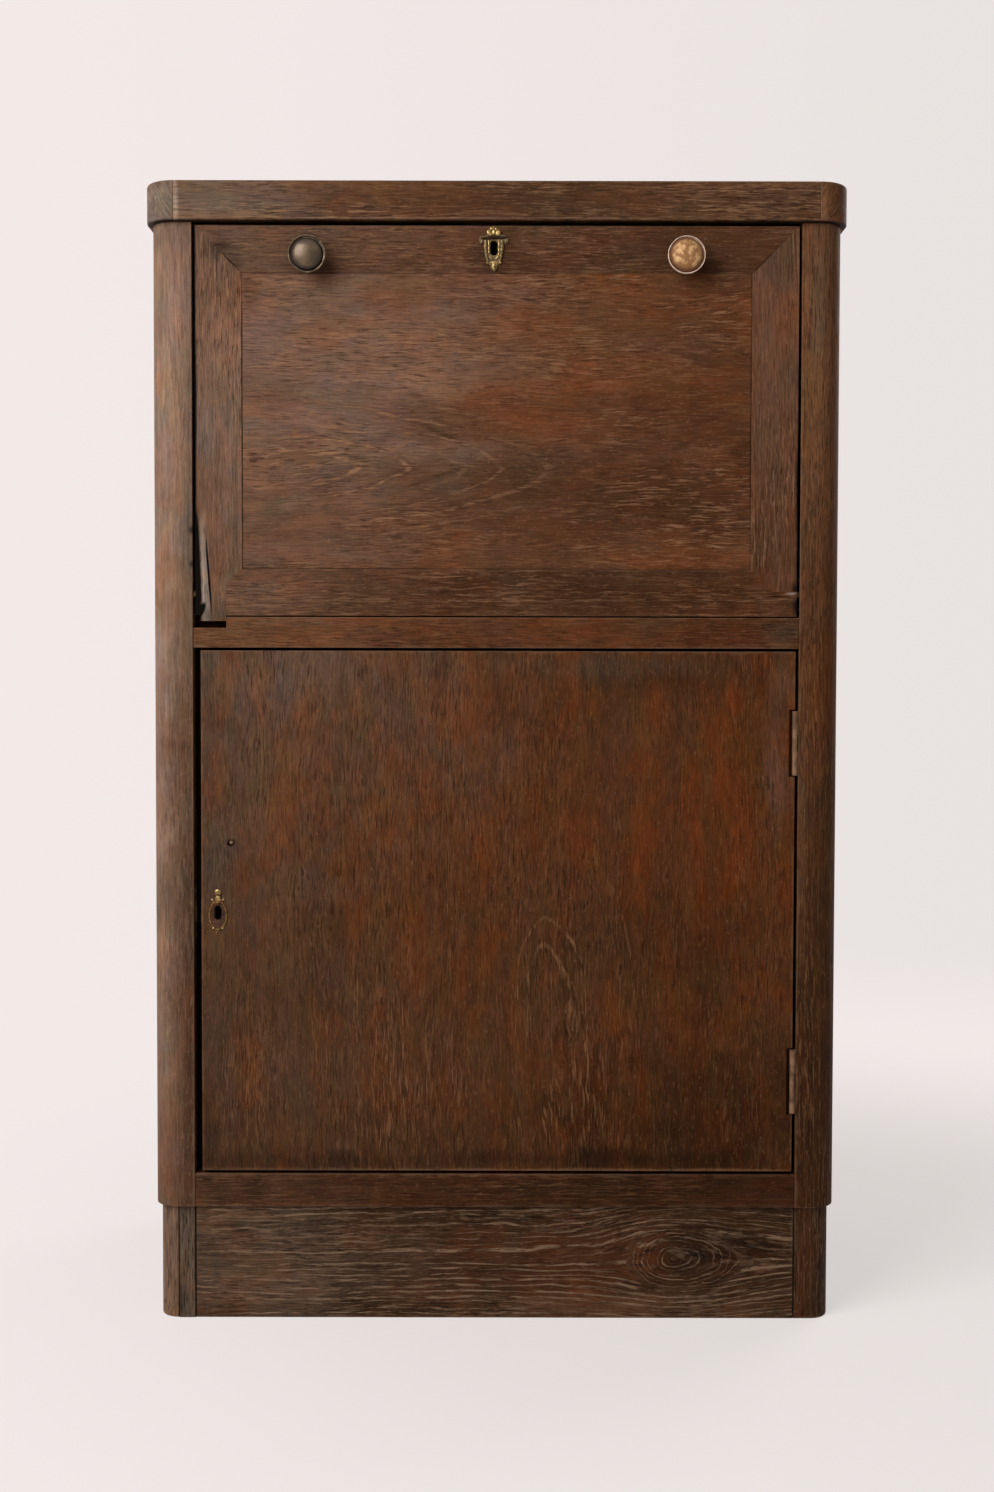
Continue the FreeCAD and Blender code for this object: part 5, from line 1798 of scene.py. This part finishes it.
@dataclass
class Escutcheon:
    """A cast keyhole plate, drawn in millimetres from its node's middle and foot."""

    smith: Smith
    node: str
    body: Body
    lock: str
    keyhole_at: float
    keyhole_wide: float = 7.4
    keyhole_high: float = 15.0
    thick: float = 0.9
    pin_at: float = 2.5
    pin: tuple[Point, ...] = ((0.0, 2.6), (0.9, 2.3), (1.1, 0.0))
    lock_face: float = 0.5
    lock_fit: float = 0.98

    def __post_init__(self) -> None:
        """Takes the plate's place from its CAD node."""
        low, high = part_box(self.node)
        self.middle = (low.x + high.x) / 2
        self.foot = low.z
        self.face = high.y

    def at(self, x: float, z: float, out: float = 0.0) -> Vector:
        """A point by its offsets in millimetres from the middle, the foot and the wood's face."""
        return Vector((self.middle + x * MM, self.face - out * MM, self.foot + z * MM))

    def rim(self, points: Sequence[Point]) -> list[Point]:
        """Turns offsets in millimetres into X and Z in metres."""
        return [(self.middle + x * MM, self.foot + z * MM) for x, z in points]

    def opening(self) -> list[Point]:
        """Draws the keyhole, upright with round ends.

        Returns:
            The offsets of its rim.
        """
        half = self.keyhole_wide / 2
        straight = (self.keyhole_high - self.keyhole_wide) / 2
        upper = arc((0, self.keyhole_at + straight), (half, half), 0, 180, 14)
        lower = arc((0, self.keyhole_at - straight), (half, half), 180, 360, 14)
        return upper + lower

    def bead(self, mould: Mould, points: Sequence[Point], thick: Sequence[float], out: float) -> None:
        """Lays a bead on the plate along offsets in millimetres."""
        line = [self.at(x, z, out) for x, z in points]
        mould.tube(line, [radius * MM for radius in thick])

    def loop(self, mould: Mould, at: float, radius: Point, thick: float, out: float, steps: int) -> None:
        """Lays an oval bead round a point on the plate's middle line."""
        points = arc((0, at), radius, 0, 360, steps)
        self.bead(mould, points, [thick] * len(points), out)

    def boss(self, mould: Mould, x: float, z: float, size: Triple, lean: float = 0.0) -> None:
        """Sets an egg-shaped boss on the plate."""
        mould.dome(self.at(x, z, self.thick), [reach * MM for reach in size], math.radians(lean))

    def pair(self, mould: Mould, x: float, z: float, size: Triple, lean: float = 0.0) -> None:
        """Sets a boss on either side of the plate's middle line."""
        for way in (-1, 1):
            self.boss(mould, way * x, z, size, way * lean)

    def cast(self, mould: Mould, part: str, finish: MetalFinish) -> None:
        """Casts one part of the plate in place of its CAD node."""
        piece = self.smith.cast(mould, f"{self.node}_{part}", self.body, finish)
        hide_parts(self.node)

    def dark(self) -> None:
        """Sets a near-black lock face and its key pin at the bottom of the keyhole: painted shade inside
        the keyhole.
        """
        low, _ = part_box(self.lock)
        front = low.y - self.lock_face * MM
        mould = Mould()
        mould.plate(self.rim([(x * self.lock_fit, z) for x, z in self.opening()]), (), front, low.y)
        start = self.at(0, self.keyhole_at + self.pin_at)
        pin = [(wide * MM, high * MM) for wide, high in self.pin]
        mould.lathe(Vector((start.x, front, start.z)), FORWARD, pin, 20)
        self.smith.cast(mould, f"{self.node}_lock_face", self.body, KEYHOLE_SHADE)


@dataclass
class FlapEscutcheon(Escutcheon):
    """The flap's plate: a shield with a leafy crown, scrolled arms and a drop."""

    node: str = "flap_escutcheon"
    body: Body = Body.FLAP
    lock: str = "flap_lock_case"
    keyhole_at: float = 23.3
    right: tuple[Point, ...] = (
        (0.0, 0.0), (2.9, 2.6), (3.2, 6.4), (7.0, 8.6), (8.2, 14.0), (9.5, 24.0), (10.2, 28.0),
        (13.4, 27.0), (14.7, 32.0), (14.0, 35.0), (6.8, 36.2), (6.4, 41.0), (3.4, 44.6), (0.0, 45.4),
    )
    wall: tuple[Point, ...] = ((8.2, 31.0), (8.4, 25.0), (7.3, 16.0), (6.0, 9.6))
    bar: tuple[Point, ...] = ((-13.0, 32.6), (-7.0, 33.4), (0.0, 33.9), (8.0, 33.6), (14.2, 34.3))
    mouth: tuple[Point, ...] = ((5.0, 31.4), (5.2, 24.0), (4.9, 16.7), (2.8, 13.0), (0.0, 12.2))
    drop: tuple[Point, ...] = ((0.0, 7.4), (0.0, 5.2), (0.0, 2.8), (0.0, 0.4))

    def build(self) -> None:
        """Casts the brass shield, its dark arms and the bright relief."""
        left = [(-x, z) for x, z in self.right[-2:0:-1]]
        shield, arms, relief = Mould(), Mould(), Mould()
        front = self.face - self.thick * MM
        shield.plate(self.rim([*self.right, *left]), [self.rim(self.opening())], front, self.face)
        for way in (-1, 1):
            self.bead(shield, [(way * x, z) for x, z in self.wall], (1.3, 1.9, 1.8, 1.3), self.thick)
            self.bead(relief, [(way * x, z) for x, z in self.mouth], (0.6, 0.7, 0.7, 0.7, 0.6), self.thick)
        self.pair(shield, 11.8, 30.0, (1.5, 1.1, 2.6), -15)
        self.cast(shield, "shield", OLD_BRASS)
        self.bead(arms, self.bar, (1.0, 1.7, 1.9, 1.5, 0.7), self.thick)
        self.cast(arms, "arms", DARK_PATINA)
        self.pair(relief, 4.4, 38.4, (2.6, 1.5, 3.4), 28)
        self.pair(relief, 2.4, 42.2, (1.6, 1.4, 2.2), 20)
        self.pair(relief, 6.3, 9.0, (1.5, 1.4, 1.5))
        self.boss(relief, 0.0, 38.6, (2.2, 2.2, 3.6))
        self.boss(relief, 0.0, 43.6, (1.4, 1.5, 1.7))
        self.boss(relief, 0.0, 8.8, (3.8, 1.3, 1.7))
        self.bead(relief, self.drop, (1.7, 2.5, 1.7, 0.3), self.thick / 2)
        self.cast(relief, "relief", CAST_BRASS)
        self.dark()


@dataclass
class DoorEscutcheon(Escutcheon):
    """The door's plate: a rimmed oval with scrolls, a ball on a neck above and a ring below."""

    node: str = "door_escutcheon"
    body: Body = Body.DOOR
    lock: str = "door_lock_case"
    keyhole_at: float = 23.2
    plate_share: float = 0.6
    oval: Point = (8.6, 14.6)
    oval_at: float = 20.6
    neck: tuple[Point, ...] = ((0.0, 33.4), (0.0, 36.0), (0.0, 39.0), (0.0, 42.0))
    ball_at: float = 44.0
    ball: tuple[Point, ...] = (
        (0.0, 3.2), (1.0, 3.0), (1.7, 2.4), (2.0, 1.8), (2.3, 2.0), (2.9, 1.7), (3.1, 1.0), (3.1, 0.0),
    )

    def build(self) -> None:
        """Casts the brown plate, its worn rim and the bright ball and scrolls."""
        plate, rim, relief = Mould(), Mould(), Mould()
        front = self.face - self.thick * self.plate_share * MM
        oval = arc((0, self.oval_at), self.oval, 0, 360, 40)[:-1]
        plate.plate(self.rim(oval), [self.rim(self.opening())], front, self.face)
        self.loop(plate, self.keyhole_at, (4.6, 8.4), 0.5, self.thick / 2, 32)
        self.cast(plate, "plate", PATINA)
        self.loop(rim, self.oval_at, self.oval, 0.95, self.thick / 2, 40)
        self.loop(rim, 2.6, (1.8, 2.1), 0.45, 0.3, 20)
        self.bead(rim, self.neck, (2.9, 2.6, 2.0, 2.4), 0.0)
        self.pair(rim, 3.6, 35.4, (1.7, 1.0, 0.9), -20)
        self.cast(rim, "rim", RUBBED_BROWN)
        self.pair(relief, 5.6, 36.6, (1.2, 1.2, 1.3))
        self.pair(relief, 4.6, 7.6, (1.5, 1.1, 1.0), 30)
        self.boss(relief, 0.0, 37.4, (3.0, 1.7, 3.8))
        ball = [(wide * MM, high * MM) for wide, high in self.ball]
        relief.lathe(self.at(0, self.ball_at), FORWARD, ball, 32)
        self.cast(relief, "relief", CAST_BRASS)
        self.dark()


@dataclass(frozen=True)
class Head:
    """A screw's head: its place, the way it looks and its radius."""

    place: Triple
    axis: Triple
    radius: float = 2.4 * MM


@dataclass
class SmallFixings:
    """Screws in the metalwork, nails in the back and the filler in the door's old hole."""

    smith: Smith
    carpenter: Carpenter
    leaf: float = 2.0 * MM
    leaf_inset: float = 7 * MM
    leaf_shares: Triple = (0.14, 0.5, 0.86)
    inset: float = 5 * MM
    case_rise: float = 18 * MM
    bolt_side: float = 11 * MM
    bolt_head: float = 4.2 * MM
    turn: Point = (0.7, 1.3)
    nail: float = 2.0 * MM
    nail_rise: float = 0.5 * MM
    nail_inset: Point = (7.5 * MM, 8 * MM)
    nails_across: tuple[float, float, int] = (-0.33, 0.11, 7)
    nails_up: tuple[float, int] = (0.0815, 11)
    hole_at: Point = (-0.2675, 0.488)
    lump: tuple[Point, ...] = ((0.0, 0.35), (1.1, 0.2), (1.8, -0.4), (2.1, -3.0), (2.2, -6.0), (0.0, -6.0))

    def build(self) -> None:
        """Adds each group of fixings on the body that it holds to."""
        self.hinges()
        self.locks()
        self.strikes()
        self.nails()
        self.filler()

    def row(self, name: str, body: Body, finish: MetalFinish, heads: Sequence[Head]) -> None:
        """Casts one group of screws.

        Args:
            name: The group's name.
            body: The body they hold to.
            finish: Their metal.
            heads: Their heads.
        """
        mould = Mould()
        first, more = self.turn
        for index, head in enumerate(heads):
            mould.screw(Vector(head.place), Vector(head.axis), head.radius, first + more * index)
        self.smith.cast(mould, name, body, finish)

    def hinges(self) -> None:
        """Screws the hinge leaves to the door and to the post."""
        for body, owner, way in ((Body.DOOR, "door", 1), (Body.CARCASS, "post", -1)):
            heads = []
            for place in ("upper", "lower"):
                low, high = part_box(f"hinge_{place}_{owner}_leaf")
                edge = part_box("door_board")[1].x if way > 0 else high.x - self.leaf
                for share in self.leaf_shares:
                    spot = (edge, high.y - self.leaf_inset, low.z + (high.z - low.z) * share)
                    heads.append(Head(spot, (way, 0, 0)))
            self.row(f"hinge_screws_{owner}", body, DARK_BRASS, heads)

    def locks(self) -> None:
        """Screws the two locks on from behind, and slots the knob bolts."""
        behind = tuple(BACKWARD)
        flap, flap_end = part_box("flap_lock_case")
        door, door_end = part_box("door_lock_case")
        on_flap = [
            Head((x, flap_end.y, flap.z + rise), behind)
            for x in (flap.x + self.inset, flap_end.x - self.inset)
            for rise in (self.inset, self.case_rise)
        ]
        for side in SIDES:
            low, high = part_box(f"knob_bolt_{side}")
            spot = ((low.x + high.x) / 2, high.y, (low.z + high.z) / 2)
            on_flap.append(Head(spot, behind, self.bolt_head))
        on_door = [
            Head((x, door_end.y, z), behind)
            for x in (door.x + self.bolt_side, door_end.x - self.inset)
            for z in (door.z + self.inset, door_end.z - self.inset)
        ]
        self.row("flap_lock_screws", Body.FLAP, STEEL, on_flap)
        self.row("door_lock_screws", Body.DOOR, STEEL, on_door)

    def strikes(self) -> None:
        """Screws the strikes and the pivot plates to the case."""
        low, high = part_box("flap_strike")
        spots = (low.x + self.inset, high.x - self.inset)
        heads = [Head((x, (low.y + high.y) / 2, low.z), (0, 0, -1)) for x in spots]
        for plate, way in (("door_strike", 1), ("pivot_plate_left", 1), ("pivot_plate_right", -1)):
            low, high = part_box(plate)
            edge = high.x if way > 0 else low.x
            for z in (low.z + self.inset, high.z - self.inset):
                heads.append(Head((edge, (low.y + high.y) / 2, z), (way, 0, 0)))
        self.row("case_screws", Body.CARCASS, DARK_BRASS, heads)

    def nails(self) -> None:
        """Nails the back on along its edges and the shelves."""
        low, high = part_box("back_panel")
        aside, above = self.nail_inset
        levels = [low.z + above, high.z - above]
        for shelf in ("lower_shelf", "floor_board", "upper_shelf"):
            start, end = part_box(shelf)
            levels.append((start.z + end.z) / 2)
        first, apart, count = self.nails_across
        spots = [(first + apart * index, z) for z in levels for index in range(count)]
        rise, count = self.nails_up
        for x in (low.x + aside, high.x - aside):
            spots += [(x, low.z + above + rise * index) for index in range(1, count + 1)]
        head = [(0.0, self.nail_rise), (self.nail * 0.6, self.nail_rise * 0.8), (self.nail, 0.0)]
        mould = Mould()
        for x, z in spots:
            mould.lathe(Vector((x, high.y, z)), BACKWARD, head, 12)
        self.smith.cast(mould, "back_nails", Body.CARCASS, STEEL)

    def filler(self) -> None:
        """Plugs the door's old hole with a pale crumbling filler."""
        low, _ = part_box("door_board")
        x, z = self.hole_at
        mould = Mould()
        mould.lathe(Vector((x, low.y, z)), FORWARD, [(r * MM, h * MM) for r, h in self.lump], 20)
        board = Board("door_board", Grain.UPRIGHT, FILLER, spacing=2 * MM)
        mould.cast("old_hole_filler", self.carpenter.material(board), Body.DOOR, FILLER.slot)


@dataclass
class Studio:
    """Camera, lamps, floor and backdrop."""

    focal: float = 43.43
    sensor: float = 36.0
    camera_at: Triple = (0.0013, -1.9956, 0.653)
    pitch: float = math.radians(2.1)
    roll: float = math.radians(0.13)
    pale: Rgb = (243, 234, 232)
    shaded: Rgb = (232, 226, 224)
    shading: Point = (-0.3, 0.34)
    floor_tones: tuple[Rgb, Rgb] = ((232, 224, 222), (236, 229, 227))
    floor_radius: float = 60.0
    floor_rough: float = 0.9
    glow: Colour = (1.0, 0.95, 0.93, 1.0)
    glow_share: float = 0.55
    glow_reach: Point = (0.35, 1.5)
    floor_reach: Point = (1.0, 2.6)
    ambient: float = 0.26
    lamp_aim: Triple = (-0.1, 0.0, 0.95)
    lamp_size: float = 1.8
    key_at: Triple = (-1.5, -1.8, 2.1)
    key_power: float = 64.0
    back_at: Triple = (2.2, 2.4, 2.2)
    back_power: float = 40.0
    shadow_at: Triple = (0.35, 0.0, 0.0)

    def build(self) -> None:
        """Sets up the whole studio."""
        bpy.context.scene.view_settings.view_transform = "Standard"
        self.camera()
        self.lamp("key lamp", self.key_at, self.key_power)
        self.lamp("back lamp", self.back_at, self.back_power)
        self.world()
        self.floor()

    def camera(self) -> None:
        """Puts the camera where the photograph was taken."""
        data = bpy.data.cameras.new("camera")
        data.lens = self.focal
        data.sensor_width = self.sensor
        camera = bpy.data.objects.new("camera", data)
        camera.location = self.camera_at
        turn = Matrix.Rotation(math.pi / 2 - self.pitch, 4, "X") @ Matrix.Rotation(self.roll, 4, "Z")
        camera.rotation_euler = turn.to_euler()
        bpy.context.scene.collection.objects.link(camera)
        bpy.context.scene.camera = camera

    def lamp(self, name: str, at: Triple, power: float) -> None:
        """Hangs one square soft lamp.

        Args:
            name: Its name.
            at: Where it hangs.
            power: Its power in watts.
        """
        data = bpy.data.lights.new(name, "AREA")
        data.size = self.lamp_size
        data.energy = power
        lamp = bpy.data.objects.new(name, data)
        lamp.location = at
        aim = Vector(self.lamp_aim) - Vector(at)
        lamp.rotation_euler = aim.to_track_quat("-Z", "Y").to_euler()
        lamp.visible_camera = False
        bpy.context.scene.collection.objects.link(lamp)

    def seen(self, graph: Graph) -> Value:
        """Picks out the rays that the camera, a mirror or glass sends straight out.

        Args:
            graph: The tree to work in.

        Returns:
            One for such a ray.
        """
        path = graph.node("ShaderNodeLightPath")
        names = ("Is Camera Ray", "Is Glossy Ray", "Is Transmission Ray")
        first, second, third = (Value(graph, path.outputs[name]) for name in names)
        return graph.math("MAXIMUM", graph.math("MAXIMUM", first, second), third)

    def world(self) -> None:
        """Makes the pale surround, dimmer as a light than it looks."""
        world = bpy.data.worlds.new("surround")
        world.use_nodes = True
        bpy.context.scene.world = world
        graph = Graph(world.node_tree)
        surround = world.node_tree.nodes["Background"]
        aside, _, _ = graph.split(graph.coordinate("Generated"))
        falling = graph.mix(graph.step(aside, *self.shading), tint(*self.pale), tint(*self.shaded))
        graph.feed(surround.inputs["Color"], falling)
        graph.feed(surround.inputs["Strength"], graph.blend(self.seen(graph), self.ambient, 1.0))

    def floor(self) -> None:
        """Lays a wide pale floor that fades into the surround and keeps the shadow near the cabinet."""
        data = bpy.data.meshes.new("floor")
        shape = bmesh.new()
        bmesh.ops.create_circle(shape, cap_ends=True, segments=96, radius=self.floor_radius)
        shape.to_mesh(data)
        shape.free()
        floor = bpy.data.objects.new("floor", data)
        bpy.context.scene.collection.objects.link(floor)
        surface = Surface("pale floor")
        graph = surface.graph
        tones = [tint(*tone) for tone in self.floor_tones]
        surface.paint({
            "Base Color": graph.mix(graph.noise(surface.here, (3, 3, 3), 3.0), *tones),
            "Roughness": self.floor_rough,
            "Specular IOR Level": 0.0,
        })
        seen = self.seen(graph)
        away = graph.vector("DISTANCE", surface.here, self.shadow_at)
        fade = graph.step(away, *self.glow_reach)
        glow = {"Color": graph.mix(fade, self.glow, tint(*self.pale))}
        shader = Value(graph, surface.shader.outputs[0])
        layers = (
            (graph.blend(fade, self.glow_share, 1.0), graph.value("ShaderNodeEmission", glow)),
            (graph.step(away, *self.floor_reach), graph.value("ShaderNodeBsdfTransparent", {})),
        )
        for share, layer in layers:
            shader = graph.value("ShaderNodeMixShader", {0: share * seen, 1: shader, 2: layer})
        graph.feed(surface.data.node_tree.nodes["Material Output"].inputs["Surface"], shader)
        data.materials.append(surface.data)


def main() -> None:
    """Builds the looks piece by piece."""
    logging.basicConfig(level=logging.INFO, format="%(message)s")
    kit = EffectKit(OakGrain(), Knot(), EdgeWear(), SoftPatch(), Tarnish())
    carpenter = Carpenter(kit)
    smith = Smith(kit)
    for part in (Top(), Case(), Plinth(), FlapBoards(), DoorBoards(), Inside()):
        part.dress(carpenter)
    Fittings(smith).dress()
    Knob(smith, "left", BRONZE, SUNK_BRONZE, BRONZE_RIM).build()
    Knob(smith, "right", WORN_BRASS, COPPER, SILVERED, dome=0.91, lip=0.022).build()
    FlapEscutcheon(smith).build()
    DoorEscutcheon(smith).build()
    SmallFixings(smith, carpenter).build()
    Studio().build()


if __name__ == "__main__":
    main()
